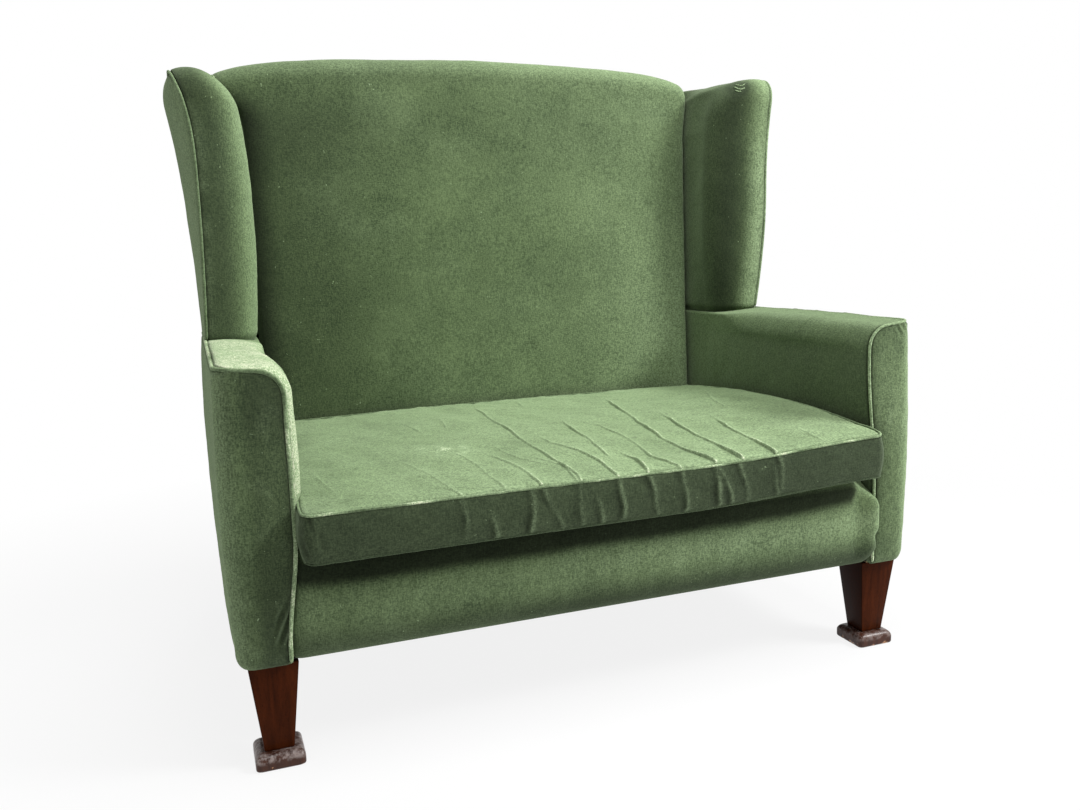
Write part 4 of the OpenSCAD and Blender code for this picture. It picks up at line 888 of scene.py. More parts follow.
def facing_grid(hand, rows, columns):
    """The arm front, whose left edge goes up the inner seam and half way round the inner top corner."""
    u, v = spread(columns, 0.5), spread(rows, 0.5)
    corner_x, top_z = HALF_W - ARM_CORNER_R, ARM_H - SEAM_IN
    centre, r = facing_round(hand), ARM_ROUND - SEAM_IN
    tall = lerp(SKIRT_H, centre[1], np.linspace(0, 1, rows))
    up = np.stack([arm_front_x(tall, hand) + SEAM_IN, tall], -1)
    left = path_points(np.concatenate([up, arc(centre, r, 180, 135, 14)[1:]]), v)
    half = arc(centre, r, 135, 90, 14)
    x = np.linspace(half[-1, 0], corner_x, 20)[1:]
    over = np.stack([x, lerp(half[-1, 1], top_z, smooth(half[-1, 0], corner_x, x))], -1)
    top = path_points(np.concatenate([half, over]), u)
    low = np.stack([lerp(left[0, 0], corner_x, u), np.full(columns, SKIRT_H)], -1)
    right = np.stack([np.full(rows, corner_x), lerp(SKIRT_H, top_z, v)], -1)
    return np.insert(coons(left, right, low, top, u, v), 1, 0, axis=2)


def outside_arm(hand):
    """One cloth over the arm front, round the outer corner and along the side."""
    is_left = hand == "left"
    corner_x = HALF_W - ARM_CORNER_R
    front = facing_grid(hand, 100, 48)
    turn = arc((corner_x, ARM_CORNER_R), ARM_CORNER_R, -90, 0, 16)[1:]
    side_y = lerp(ARM_CORNER_R, COVER_BACK, np.linspace(0, 1, 70)[1:])
    x, y = np.concatenate([turn, np.column_stack([np.full(69, HALF_W), side_y])]).T
    panel = Panel(np.concatenate([front, grid_of(x[None], y[None], front[:, -1:, 2])], 1))
    panel.turn_in(0.0040, 0.0020, ("left", "top"))
    panel.turn_in(0.024, 0.012, ("low",))
    panel.turn_in(0.008, 0.003, ("right",))
    grid = panel.grid
    x, y, z = xyz(grid)
    across = np.sqrt(smooth(0, 0.055, panel.left)) * smooth(0, 0.05, panel.right)
    tall = np.sin(np.pi * limit((z - SKIRT_H) / (ARM_H - SKIRT_H))) ** 0.5
    on_side = smooth(ARM_CORNER_R, 0.16, y)
    panel.relief(across * tall * lerp(0.0075, ARM_SIDE_SWELL[hand], on_side))
    panel.relief(0.0010 * noise(grid, 0.2, seed=41) + 0.0004 * noise(grid, 0.05, seed=42))
    # The left facing is folded in and stitched at its inner foot, and both are tucked at the outer top corner
    if is_left:
        fold = panel.left + 0.35 * (panel.low - 0.10)
        at_foot = smooth(0.115, 0.09, panel.low) * smooth(0.03, 0.055, panel.low)
        at_foot = at_foot * smooth(0.030, 0.012, panel.left)
        panel.relief(0.0028 * at_foot * np.sin(2 * np.pi * fold / 0.016))
    corner = bump(x, corner_x + 0.006, 0.016) * smooth(0.035, 0.006, panel.top) * (1 - on_side)
    panel.relief(0.0016 * corner * np.sin(2 * np.pi * (x + 0.6 * z) / 0.014))
    # Painted shade along the foot, and under the piping of the inner seam
    panel.darken(0.25 * smooth(0.03, 0.0, panel.low))
    panel.darken(0.9 * np.exp(-panel.left / 0.005) * (1 - on_side))
    facing = 1 - smooth(ARM_CORNER_R * 0.4, ARM_CORNER_R, y)
    from_side = HALF_W - x
    inner = smooth(0.012, 0.055, from_side)
    # A little random wear on the facings. Painted shade over the left facing; on the right, paler streaks
    # across the middle, and painted shade at the top, at the foot and beside the cushion's end
    panel.wear = 0.04 * smooth(0.3, 0.8, noise(grid, 0.07, seed=43)) * facing
    if is_left:
        panel.nap_and_shade = facing * (0.55 * inner + 0.25 * smooth(0.53, 0.60, z) * smooth(0.0, 0.02, from_side)
                              + 0.15 * smooth(0.42, 0.36, z) + 0.25 * smooth(0.36, 0.25, z))
    else:
        streaks = 0.6 + 0.4 * noise(grid * (3, 1, 0.5), 0.05, seed=44)
        panel.wear += 0.16 * facing * bump(z, 0.49, 0.085) * streaks
        panel.nap_and_shade = facing * (0.10 * inner + 0.18 * (smooth(0.58, 0.63, z) + smooth(0.30, 0.22, z))
                              + 0.62 * smooth(0.036, 0.0, panel.left) * bump(z, 0.405, 0.075))
    # A painted sheen along each facing's outer corner, stronger on the left
    panel.wear += (0.20 if is_left else 0.10) * bump(from_side, 0.006, 0.014) * smooth(0.06, 0.015, y)
    cover("outside_arm_" + hand, panel, CLOTH_T, ("outside_arm_cover_" + hand,), hand)


def arm_piping(hand):
    """The piping along the arm's side, round its corner, over the facing and down the inner seam."""
    is_left = hand == "left"
    side = [[HALF_W - PIPING_IN, y, ARM_H - PIPING_IN] for y in (COVER_BACK - 0.004, ARM_CORNER_R)]
    turn = arc((HALF_W - ARM_CORNER_R, ARM_CORNER_R), ARM_CORNER_R - PIPING_IN, 0, -90, 16)
    turn = np.column_stack([turn, arm_top(turn[:, 0]) - PIPING_IN])
    centre = facing_round(hand)
    over = np.insert(arc(centre, ARM_ROUND - PIPING_IN, 90, 180, 16), 1, PIPING_IN, axis=1)
    z = np.linspace(centre[1], SKIRT_H + 0.008, 40)[1:]
    down = np.column_stack([arm_front_x(z, hand) + PIPING_IN, np.full(len(z), PIPING_IN), z])
    path = rounded_path([side, turn, over, down])
    on_top = smooth(ARM_CORNER_R * 0.5, ARM_CORNER_R * 1.5, path[:, 1])
    on_facing = lerp(0.10, 0.72, smooth(0.625, 0.560, path[:, 2])) if is_left else 0.50
    worn_and_lit = lerp(on_facing, 0.90 if is_left else 0.25, on_top)
    name = "arm_piping_" + hand
    tube(name + "_cord", path, ARM_PIPING_R[hand], (0.52, -0.52, 0.68), (name,), hand=hand, wear=worn_and_lit)


def front_border():
    """The padded border under the cushion, turned over the deck's front edge and in under the seat."""
    low = SKIRT_H + 0.004
    v = spread(80, 0.3)
    over = arc((DECK_ROUND, DECK_H - DECK_ROUND), DECK_ROUND, 180, 90, 17)[1:]
    y = np.concatenate([0 * v, over[:, 0], np.linspace(DECK_ROUND, BORDER_DEEP, 8)[1:]])[:, None]
    z = np.concatenate([lerp(low, DECK_H - DECK_ROUND, v), over[:, 1], np.full(7, DECK_H)])[:, None]
    s = np.concatenate([[-1], -0.995 + 1.99 * spread(220, 0.25), [1]])[None]
    right, left = [arm_front_x(z, hand) + PIPING_IN - PIPING_R - SLIP for hand in HANDS]
    grid = grid_of(s * np.where(s < 0, left, right), y, z)
    panel = Panel(grid)
    panel.turn_in(0.022, 0.014, ("left", "right"))
    panel.turn_in(0.034, 0.022, ("low",))
    panel.turn_in(0.010, 0.002, ("top",))
    tall = np.sin(np.pi * limit((z - low) / (DECK_H - low))) ** 0.7
    fullness = tall * smooth(DECK_ROUND + 0.010, DECK_ROUND - 0.010, y) * (1 - s ** 8)
    panel.relief(BORDER_SWELL * fullness)
    panel.relief(fullness * (0.0018 * noise(grid, 0.16, seed=51) + 0.0007 * noise(grid, 0.05, seed=52)))
    # The right end is stuffed out over the piping, nipped in by a stitch, and falls away under the cushion
    grid = panel.grid
    height = grid[..., 2].copy()
    fall = smooth(0.060, 0.0, panel.right) * smooth(DECK_H - 0.085, DECK_H, height)
    grid[..., 2] -= 0.032 * fall * smooth(BORDER_DEEP, 0.010, grid[..., 1])
    lap = smooth(0.048, 0.0, panel.right) * smooth(0.352, 0.306, grid[..., 2]) * smooth(0.186, 0.225, height)
    nip = bump(height, 0.249, 0.010)
    upper = smooth(0.235, 0.262, height)
    grid[..., 0] += lap * (lerp(0.0056, 0.0090, upper) - 0.0024 * nip)
    grid[..., 1] -= lap * (lerp(0.0150, 0.0185, upper) - 0.0025 * nip)
    # Painted shadow where the cushion overhangs the border, weaker on the hidden top, and painted shade as
    # the border turns under; a painted highlight along the bulge, stronger to the right, over a little random
    # wear
    x = grid[..., 0]
    edge_z = (lerp(0.3145, 0.3215, smooth(0.30, 0.50, x)) + 0.0015 * noise(grid, 0.12, seed=54)
              + 0.060 * smooth(0.505, 0.540, x))
    cushion_shadow = smooth(edge_z - 0.016, edge_z + 0.008, height) * lerp(1.12, 0.25, smooth(0.346, 0.360, height))
    panel.shade = np.maximum(0.25 * panel.shade, cushion_shadow)
    panel.nap_and_shade = lerp(0.85, 1.05, smooth(-0.4, 0.0, x)) * smooth(0.262, 0.200, height)
    bulge_highlight = bump(height, 0.280, 0.028) * lerp(0.05, 0.20, smooth(-0.3, 0.5, x))
    panel.wear = 0.06 * limit(noise(grid, 0.2, seed=53)) + bulge_highlight
    cover("front_border_panel", panel, 0.006, ("front_border", "seat_stuffing"))


def platform():
    """The covered deck that the loose cushion lies on."""
    y = lerp(BORDER_DEEP + 0.001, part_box("platform_cover")[1].y - FRONT_Y, spread(60, 0.3))[:, None]
    s = -1 + 2 * spread(90, 0.3)[None]
    right, left = [arm_face_x(y, DECK_H, hand) - CLOTH_T for hand in HANDS]
    grid = grid_of(s * np.where(s < 0, left, right), y, DECK_H)
    panel = Panel(grid)
    panel.turn_in(0.030, 0.012, ("left", "right", "top"))
    panel.turn_in(0.008, 0.002, ("low",))
    panel.relief(-0.0012 - 0.0010 * noise(grid, 0.18, seed=61))
    cover("deck_panel", panel, CLOTH_T, ("platform_cover",))


def outside_back():
    """The plain panel that closes the settee behind. From behind, its left is on the right."""
    s = -1 + 2 * spread(120, 0.4)[None]
    side_x = wing_rear_x(WING_REAR_H) - BACK_CORNER
    x_top = s * side_x
    on_back = (x_top < BACK_TOP_LEFT) & (x_top > -BACK_TOP_HALF)
    top = np.where(on_back, crest(-x_top), WING_REAR_H) - REAR_DIP
    z = lerp(SKIRT_H, top, spread(90, 0.4)[:, None])
    half = np.where(z < ARM_H, HALF_W, wing_rear_x(z))
    grid = grid_of(-s * lerp(half, side_x, smooth(top - 0.03, top, z)), BODY_D, z)
    panel = Panel(grid)
    panel.turn_in(0.012, 0.005)
    panel.relief(0.0008 * noise(grid, 0.25, seed=71) + 0.0020 * smooth(0, 0.12, panel.edge))
    cover("outside_back_panel", panel, CLOTH_T, ("outside_back_cover",))


def dust_cover():
    """Black cloth tacked under the seat."""
    low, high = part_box("dust_cover")
    x = lerp(low.x, high.x, spread(90, 0.5))[None]
    y = (lerp(low.y, high.y, spread(60, 0.5)) - FRONT_Y)[::-1, None]
    panel = Panel(grid_of(x, y, (low.z + high.z) / 2))
    panel.relief(0.0055 * smooth(0.03, 0.35, panel.edge) + 0.0006 * noise(panel.grid, 0.2, seed=81))
    piece = panel_piece("dust_cloth", panel, 0.0012)
    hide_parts("dust_cover")
    dress(piece, DUST_CLOTH)


# The loose cushion

def cushion_half_at(y):
    return CUSHION_HALF - CUSHION_TAPER * limit(y / (WING_Y + 0.010))


def cushion_depth(y):
    return limit((y + CUSHION_FRONT) / (CUSHION_REAR + CUSHION_FRONT))


def cushion_edge_z(x, y):
    """The upper seam: lower in front, and puffed up along the right-hand side."""
    s = cushion_depth(y)
    front = 0.441 + 0.018 * smooth(0.10, 0.56, x) ** 1.3
    rear = 0.468 + 0.006 * (1 - (x / CUSHION_HALF) ** 2)
    puff = 0.026 * smooth(0.20, 0.52, x) * np.sin(np.pi * s ** 0.85) ** 0.8
    return lerp(front, rear, s) + puff


def cushion_low_z(x, y):
    """The lower seam, which droops where the cushion hangs over the border."""
    drop = lerp(-0.012, 0.006, smooth(0.12, 0.56, x))
    return CUSHION_Z + drop * limit((0.030 - y) / (0.030 + CUSHION_FRONT)) ** 1.5


def cushion_plan(inset, columns=680, rows=170):
    """The four edges of the plan, moved in: left and right going back, front and rear going right."""
    front, rear = inset - CUSHION_FRONT, CUSHION_REAR - inset
    r = CUSHION_CORNER - inset
    t = np.linspace(0, 1, 90)[1:-1]
    y = lerp(front + r, rear - r, t)
    half = cushion_half_at(y) - inset
    draw = CUSHION_DRAW * np.sin(np.pi * t)
    xr = cushion_half_at(CUSHION_REAR) - inset - r
    right_x = cushion_half_at(0) - inset - r + CUSHION_CORNER_OUT
    left_x = -cushion_half_at(0) + inset + r - CUSHION_LEFT_OUT
    left_run = np.stack([-half - CUSHION_LEFT_OUT * smooth(0.10, -0.02, y), y], -1)
    right_run = np.stack([half + CUSHION_CORNER_OUT * smooth(0.016, -0.014, y), y], -1)
    front_run = np.stack([lerp(left_x, right_x, t), front + draw], -1)
    rear_run = np.stack([lerp(-xr, xr, t), rear - draw], -1)

    def edge(first, start, run, last, end, count):
        """A run between the halves of two corners; each half ends or starts at the run's angle."""
        before = arc(first, r, *start, 12)
        after = arc(last, r, *end, 12)
        return path_points(np.concatenate([before, run, after]), np.linspace(0, 1, count))

    near_left, near_right = (left_x, front + r), (right_x, front + r)
    far_left, far_right = (-xr, rear - r), (xr, rear - r)
    return [edge(near_left, (225, 180), left_run, far_left, (180, 135), rows),
            edge(near_right, (-45, 0), right_run, far_right, (0, 45), rows),
            edge(near_left, (225, 270), front_run, near_right, (-90, -45), columns),
            edge(far_left, (135, 90), rear_run, far_right, (90, 45), columns)]


def ring_of(edges):
    """The plan's edges as one ring, counter-clockwise from the front left corner."""
    left, right, front, rear = edges
    return np.concatenate([front, right[1:], rear[::-1][1:], left[::-1][1:-1]])


# Creases of the cushion's cover: points from the rear to the front as x and y, and the fold's height
CREASES = [
    (((-0.085, 0.59), (-0.090, 0.38), (-0.087, 0.14), (-0.074, -0.02), (-0.083, -0.06)), 0.0030),
    (((0.026, 0.66), (0.030, 0.63), (0.017, 0.51)), 0.0022),
    (((-0.053, 0.26), (-0.045, 0.18), (-0.006, 0.034), (-0.010, -0.06)), 0.0030),
    (((0.043, 0.37), (0.032, 0.22), (0.019, 0.037)), 0.0032),
    (((0.049, 0.09), (0.057, 0.02), (0.045, -0.06)), 0.0038),
    (((0.227, 0.55), (0.200, 0.39), (0.164, 0.13), (0.176, 0.0), (0.182, -0.06)), 0.0040),
    (((0.260, 0.33), (0.233, 0.13), (0.238, -0.06)), 0.0038),
    (((0.324, 0.22), (0.303, 0.05), (0.310, -0.06)), 0.0036),
    (((0.407, 0.10), (0.417, -0.05)), 0.0014),
    (((0.092, 0.30), (0.104, 0.19), (0.102, 0.12), (0.093, 0.03), (0.114, -0.06)), 0.0026),
    (((-0.161, 0.25), (-0.139, 0.12), (-0.120, 0.078), (-0.087, 0.02)), 0.0012),
    (((0.457, 0.50), (0.394, 0.316), (0.374, 0.22)), 0.0016),
    (((0.161, 0.30), (0.176, 0.19)), 0.0012),
    (((-0.121, 0.13), (-0.080, 0.033), (-0.084, -0.06)), 0.0022),
    (((-0.244, 0.23), (-0.219, 0.09), (-0.213, -0.027), (-0.215, -0.06)), 0.0016),
    (((-0.497, 0.20), (-0.477, 0.02)), 0.0014),
    (((-0.272, 0.51), (-0.251, 0.35)), 0.0018),
    (((-0.186, 0.51), (-0.199, 0.37)), 0.0020),
    (((-0.284, 0.60), (-0.284, 0.56)), 0.0014),
    (((-0.228, 0.38), (-0.231, 0.31)), 0.0018),
    (((-0.183, 0.17), (-0.151, 0.02), (-0.148, -0.06)), 0.0028),
    (((-0.344, 0.19), (-0.319, 0.10), (-0.283, -0.06)), 0.0014),
]
# The heights at which the painted shade and highlight of a crease and of a boxing fold are at full strength
CREASE_FULL = 0.004
BOXING_FULL = 0.0034

# Folds of the front boxing: the place above and below, the height, and the shares that it runs between
BOXING_FOLDS = [
    (-0.287, -0.283, 0.0014, 0.1, 1), (-0.243, -0.233, 0.0030, 0, 0.55), (-0.169, -0.170, 0.0034, 0, 1),
    (-0.148, -0.116, 0.0022, 0, 1), (-0.085, -0.080, 0.0016, 0, 1), (-0.062, -0.039, 0.0032, 0, 0.6),
    (-0.008, -0.004, 0.0034, 0, 1), (0.046, 0.065, 0.0030, 0, 1), (0.112, 0.119, 0.0032, 0, 1),
    (0.177, 0.187, 0.0034, 0, 1), (0.185, 0.214, 0.0028, 0, 1), (0.228, 0.244, 0.0024, 0, 1),
    (0.292, 0.307, 0.0018, 0, 0.8), (0.308, 0.316, 0.0024, 0.1, 1)]


def crease_at(x, y):
    """The folds' height at each point, and the painted shade at the foot and the painted highlight on the
    ridge of each.
    Across it, a crease has a steep side, a rounded ridge and a long soft side."""
    height, dark, light = np.zeros((3,) + x.shape)
    at_front = smooth(0.06, -0.04, y)
    for points, size in CREASES:
        px, py = np.array(points).T
        off = x - np.interp(y, py[::-1], px[::-1]) - 0.0016 * np.sin(34 * y + 40 * px[0])
        rear_end = smooth(py[0] + 0.01, py[0] - 0.09, y)
        front_end = 1.0 if py[-1] < -0.05 else smooth(py[-1] - 0.01, py[-1] + 0.06, y)
        strength = rear_end * front_end * (1 + 0.25 * np.sin(28 * y + 9 * px[0])) * (1 + 0.5 * at_front)
        across = smooth(-0.0026, 0.0016, off) * np.exp(-np.maximum(off, 0) / 0.008)
        height += FOLD_GAIN * size * strength * across
        dark = np.maximum(dark, size / CREASE_FULL * strength * bump(off, -0.0020, 0.0017))
        light = np.maximum(light, size / CREASE_FULL * strength * bump(off, 0.0024, 0.0021))
    return height, dark, light


def boxing_folds(x, t):
    """Upright folds of the front boxing: height, and ridges and valleys for painted highlights and shade; t
    is the share of the way up.
    """
    height, ridge, valley = np.zeros((3,) + x.shape)
    for top_x, low_x, size, low, high in BOXING_FOLDS:
        off = x - lerp(low_x, top_x, t) - 0.0020 * np.sin(6 * t + 50 * low_x)
        rise = 1.0 if low == 0 else smooth(low - 0.1, low + 0.15, t)
        fade = 1.0 if high == 1 else smooth(high + 0.15, high - 0.15, t)
        strength = rise * fade * (0.8 + 0.3 * np.sin(5 * t + 70 * top_x))
        across = smooth(-0.0090, 0.0016, off) * np.exp(-np.maximum(off, 0) / 0.016)
        height += BOXING_FOLD_GAIN * size * strength * across
        ridge = np.maximum(ridge, size / BOXING_FULL * strength * bump(off, 0.0020, 0.0042))
        valley = np.maximum(valley, size / BOXING_FULL * strength * bump(off, -0.0075, 0.0065))
    return height, ridge, valley


def cushion_front_share(y):
    """1 along the cushion's front, 0 on its other sides."""
    return smooth(-CUSHION_FRONT + 0.030, -CUSHION_FRONT + 0.010, y)


def cushion_top(edges):
    """The crowned and creased top panel."""
    u, v = np.linspace(0, 1, len(edges[2])), np.linspace(0, 1, len(edges[0]))
    x, y = xyz(coons(*edges, u, v))
    s = cushion_depth(y)
    round_off = limit(1 - (np.abs(x) / (CUSHION_HALF + CUSHION_CORNER_OUT)) ** 3) ** 0.8
    top = Panel(grid_of(x, y, cushion_edge_z(x, y) + CUSHION_CROWN * round_off * (4 * s * (1 - s)) ** 0.7))
    edge = top.edge
    top.relief(-tuck(edge, 0.010, 0.0045))
    height, dark, light = crease_at(x, y)
    top.relief(height * lerp(0.45, 1.0, smooth(0.0, 0.012, edge)))
    pucker = bump(edge, 0.008, 0.010) * noise(top.grid, 0.035, seed=93)
    soft = noise(top.grid, 0.17, seed=92)
    top.relief(0.0007 * noise(top.grid, 0.05, seed=91) + 0.0018 * soft + 0.0010 * pucker)
    # The cover is rubbed bare in streaks left of the middle, and is paler along the front. The same mark
    # paints highlights on the creases' ridges; the shade mark paints shade at their feet and along the seams,
    # and the nap mark darkens the sides.
    across = (x + 0.240) * 0.53 + (y - 0.208) * 0.85
    along_it = (x + 0.240) * 0.85 - (y - 0.208) * 0.53
    patch = bump(across, 0, 0.030) * bump(along_it, 0, 0.060)
    streak = noise(grid_of(along_it, 5 * across, 0), 0.045, seed=94)
    cloudy = noise(grid_of(x + 0.4 * y, 0.35 * y, 0), 0.06, seed=98)
    top.wear = (0.22 + 0.05 * soft + 0.05 * cloudy + patch * (0.12 + 0.75 * smooth(0.0, 0.7, streak))
                + 0.10 * bump(edge, 0.006, 0.010) * smooth(0.0, -0.03, y)
                + 0.60 * limit(light) + 0.07 * smooth(0.16, 0.0, y) * smooth(-0.40, -0.20, x))
    top.nap_and_shade = (0.12 * smooth(-0.05, -0.40, x) + 0.12 * smooth(0.36, 0.52, x) + 0.10 * limit(-cloudy)
               + 0.38 * smooth(-0.42, -0.53, x) + 0.14 * limit(noise(top.grid, 0.11, seed=99)))
    top.shade = np.maximum(0.34 * limit(dark), 0.55 * np.exp(-edge / 0.002))
    return top


def cushion_levels(edges):
    """Rings going down the boxing and in under the cushion: the plan, the height, the painted shade, and the
    wear with painted highlights.
    """
    outer, notch = ring_of(cushion_plan(0)), ring_of(edges)
    x, y = outer.T
    away = np.roll(outer, -1, 0) - np.roll(outer, 1, 0)
    away = away[:, ::-1] * (1, -1)
    away /= np.linalg.norm(away, axis=1, keepdims=True)
    upper = cushion_edge_z(x, y) - CUSHION_SEAM_IN
    lower = cushion_low_z(x, y) + CUSHION_SEAM_IN
    on_front = cushion_front_share(y)
    at_corner = on_front * bump(x, -CUSHION_HALF + 0.006, 0.018)
    levels = [(notch, upper, 0.8, 0.04)]
    for t in spread(34, 0.35)[::-1]:
        folds, ridge, valley = boxing_folds(x, t)
        place = np.column_stack([outer, lerp(lower, upper, t)])
        puckers = noise(place * (1, 1, 0.5), 0.020, seed=96)
        out = (BOXING_SWELL * np.sin(np.pi * t) ** 0.8 + on_front * folds * smooth(0.0, 0.12, t)
               + 0.0016 * at_corner * puckers + 0.0008 * noise(place, 0.06, seed=97))
        # Painted shade at the seams, over the whole boxing, in the folds' valleys and the corner's puckers;
        # painted highlights on the folds' ridges
        seam = 0.5 * (smooth(0.97, 1, t) + smooth(0.05, 0, t))
        in_fold = on_front * (0.10 + 0.45 * valley) + 0.5 * at_corner * smooth(-0.3, -0.9, puckers)
        dark = np.maximum(seam, 0.12 + in_fold) - 0.12 * on_front * ridge
        levels.append((outer + away * out[:, None], place[:, 2], dark, 0.04 + on_front * 0.20 * limit(ridge)))
    levels.append((notch, lower, 0.8, 0.04))
    middle = np.array([0, (CUSHION_REAR - CUSHION_FRONT) / 2])
    for share in np.concatenate([np.linspace(0.998, 0.76, 14), np.linspace(0.70, 0.04, 9)]):
        xy = lerp(middle, notch, share)
        levels.append((xy, cushion_low_z(*xy.T) + 0.0012 * share ** 8, 0.3, 0.04))
    # The nap mark darkens the boxing toward the right: nap, and painted shade
    return levels, lerp(0.92, 1.08, smooth(-0.2, 0.5, x))


def seat_cushion():
    """A boxed cushion with a crowned top, drawn-in sides and creases running over its front edge."""
    edges = cushion_plan(CUSHION_SEAM_IN)
    top = cushion_top(edges)
    levels, side_nap_and_shade = cushion_levels(edges)
    rows, columns = top.left.shape
    faces = quads(rows, columns).tolist()
    above = outline(rows, columns)
    n = len(above)
    for i in range(len(levels)):
        here = rows * columns + i * n + np.arange(n)
        faces += band(here, above)
        above = here
    faces.append(above[::-1].tolist())
    points = [top.grid.reshape(-1, 3)] + [np.column_stack(level[:2]) for level in levels]
    dark, pale = [np.concatenate([np.full(n, level[k]) for level in levels]) for k in (2, 3)]
    marks = {"wear": np.append(top.wear, pale), "shade": np.append(top.shade, dark),
             "nap_and_shade": np.append(top.nap_and_shade, np.tile(side_nap_and_shade, len(levels)))}
    piece = make_mesh("seat_cushion", np.concatenate(points), faces, marks=marks)
    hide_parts("cushion_cover", "cushion_core")
    dress(piece, VELVET, "cushion")


def cushion_pipings():
    """Two closed cords; the upper one stands for both in the frame."""
    inset = CUSHION_PIPING_R - CUSHION_PIPING_OUT
    plan = ring_of(cushion_plan(inset, 220, 150))
    x, y = plan.T
    on_front = cushion_front_share(y)
    upper = np.column_stack([plan, cushion_edge_z(x, y) - inset])
    upper[:, 1] -= 0.4 * on_front * boxing_folds(x, 1.0)[0]
    lower = np.column_stack([plan, cushion_low_z(x, y) + CUSHION_PIPING_R])
    # The upper cord is paler along the front; the lower one takes painted shade through the nap mark
    worn_and_lit = 0.10 + on_front * (0.34 + 0.34 * np.sin(23 * x) * np.sin(61 * x + 1))
    for level, path, nodes, wear, nap_and_shade in (("upper", upper, ("cushion_piping",), worn_and_lit, 0.2),
                                          ("lower", lower, (), 0.02, 0.9)):
        path[:, 2] += 0.0004 * noise(path, 0.05, seed=95)
        tube("cushion_piping_" + level, path, CUSHION_PIPING_R, (0, 0, 1), nodes, "cushion",
             closed=True, sides=10, wear=wear, nap_and_shade=nap_and_shade)


# Legs

def square_ring(x, y, half_x, half_y, z):
    return np.array([[x + a * half_x, y + b * half_y, z] for a, b in ((-1, -1), (1, -1), (1, 1), (-1, 1))])


def leg(name, foot_ring, top_ring, rounding, hand, node):
    """A tapered leg between two square rings, with rounded edges."""
    piece = make_mesh(name, np.concatenate([foot_ring, top_ring]), loft_faces(2, 4), hand)
    bevel = piece.modifiers.new("round", "BEVEL")
    bevel.width = rounding
    bevel.segments = 3
    bevel.limit_method = "ANGLE"
    bevel.angle_limit = math.radians(25)
    sharp = piece.data
    piece.data = bpy.data.meshes.new_from_object(piece.evaluated_get(bpy.context.evaluated_depsgraph_get()))
    piece.modifiers.clear()
    bpy.data.meshes.remove(sharp)
    piece.data.shade_smooth()
    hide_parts(node + hand)
    dress(piece, MAHOGANY)
    return piece.data


def front_leg(hand):
    low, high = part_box("front_leg_right")
    x, y = (low.x + high.x) / 2, (low.y + high.y) / 2 - FRONT_Y
    foot = square_ring(x, y, FRONT_FOOT / 2, FRONT_FOOT / 2, low.z)
    top = square_ring(x, y, (high.x - low.x) / 2, (high.y - low.y) / 2, LEG_Z)
    mesh = leg("leg_" + hand, foot, top, 0.0022, hand, "front_leg_")
    # Painted shade on the sides that face each other
    inward = np.array([v.normal.x for v in mesh.vertices]) * (1 if hand == "left" else -1)
    mark_points(mesh, "shade", smooth(0.5, 0.9, inward))


def rear_leg(hand):
    low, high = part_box("rear_leg_right")
    top_low, top_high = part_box("back_post_right")
    x, y = (top_low.x + top_high.x) / 2, (top_low.y + top_high.y) / 2 - FRONT_Y
    foot = square_ring(x, high.y - FRONT_Y - REAR_FOOT / 2, REAR_FOOT / 2, REAR_FOOT / 2, low.z)
    top = square_ring(x, y, (top_high.x - top_low.x) / 2, (top_high.y - top_low.y) / 2, LEG_Z)
    leg("rear_leg_" + hand + "_turned", foot, top, 0.0025, hand, "rear_leg_")


def rounded_ring(half_x, half_y, r, per_side=26):
    """A rectangle's outline with rounded corners, counter-clockwise from its front right corner."""
    corners = np.array([(1, -1), (1, 1), (-1, 1), (-1, -1)]) * (half_x - r, half_y - r)
    runs = []
    for k in range(4):
        turn = arc(corners[k], r, 90 * k - 90, 90 * k, 5)
        following = corners[(k + 1) % 4] + turn[-1] - corners[k]
        runs += [turn, lerp(turn[-1], following, np.linspace(0, 1, per_side, endpoint=False)[1:, None])]
    return np.concatenate(runs)


def foot_block(hand):
    """A flat block with a rounded upper edge, chipped along its lower one."""
    is_left = hand == "left"
    low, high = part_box("front_foot_right")
    middle = np.array([(low.x + high.x) / 2, (low.y + high.y) / 2 - FRONT_Y])
    half = (high.x - low.x) / 2 + BLOCK_GROWN, (high.y - low.y) / 2 + BLOCK_GROWN
    ease = arc((BLOCK_EASE, BLOCK_EASE), BLOCK_EASE, 270, 180, 6)
    upright = np.linspace(BLOCK_EASE, high.z - BLOCK_ROUND, 8)[1:-1]
    over = arc((BLOCK_ROUND, high.z - BLOCK_ROUND), BLOCK_ROUND, 180, 90, 13)
    levels = np.concatenate([ease, np.column_stack([0 * upright, upright]), over])
    rings = [rounded_ring(half[0] - inset, half[1] - inset, BLOCK_CORNER_R) for inset, _ in levels]
    n = len(rings[0])
    points = np.column_stack([np.concatenate(rings) + middle, np.repeat(levels[:, 1], n)])
    height = points[:, 2].copy()
    chip = limit(noise(points, 0.022, seed=7 if is_left else 17) * 1.4 - 0.10) * smooth(0.013, 0.002, height)
    inward = middle - points[:, :2]
    inward /= np.maximum(np.linalg.norm(inward, axis=1, keepdims=True), 1e-6)
    points[:, :2] += inward * (0.0022 * chip * (height > 0.0005))[:, None]
    nicks = smooth(1.1, 1.5, noise(points, 0.015, seed=27 if is_left else 37)) * smooth(0.004, 0.010, height)
    # The shade mark picks out the upper rounding, for scuffs and the painted grey reflection; less on the
    # right block
    marks = {"wear": limit(1.6 * chip + 0.25 * smooth(0.006, 0.0, height) + 0.9 * nicks),
             "shade": (1.0 if is_left else 0.55) * smooth(0.011, 0.019, height)}
    piece = make_mesh("foot_block_" + hand, points, loft_faces(len(levels), n), hand, marks)
    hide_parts("front_foot_" + hand)
    dress(piece, FOOT_WOOD)


# Building

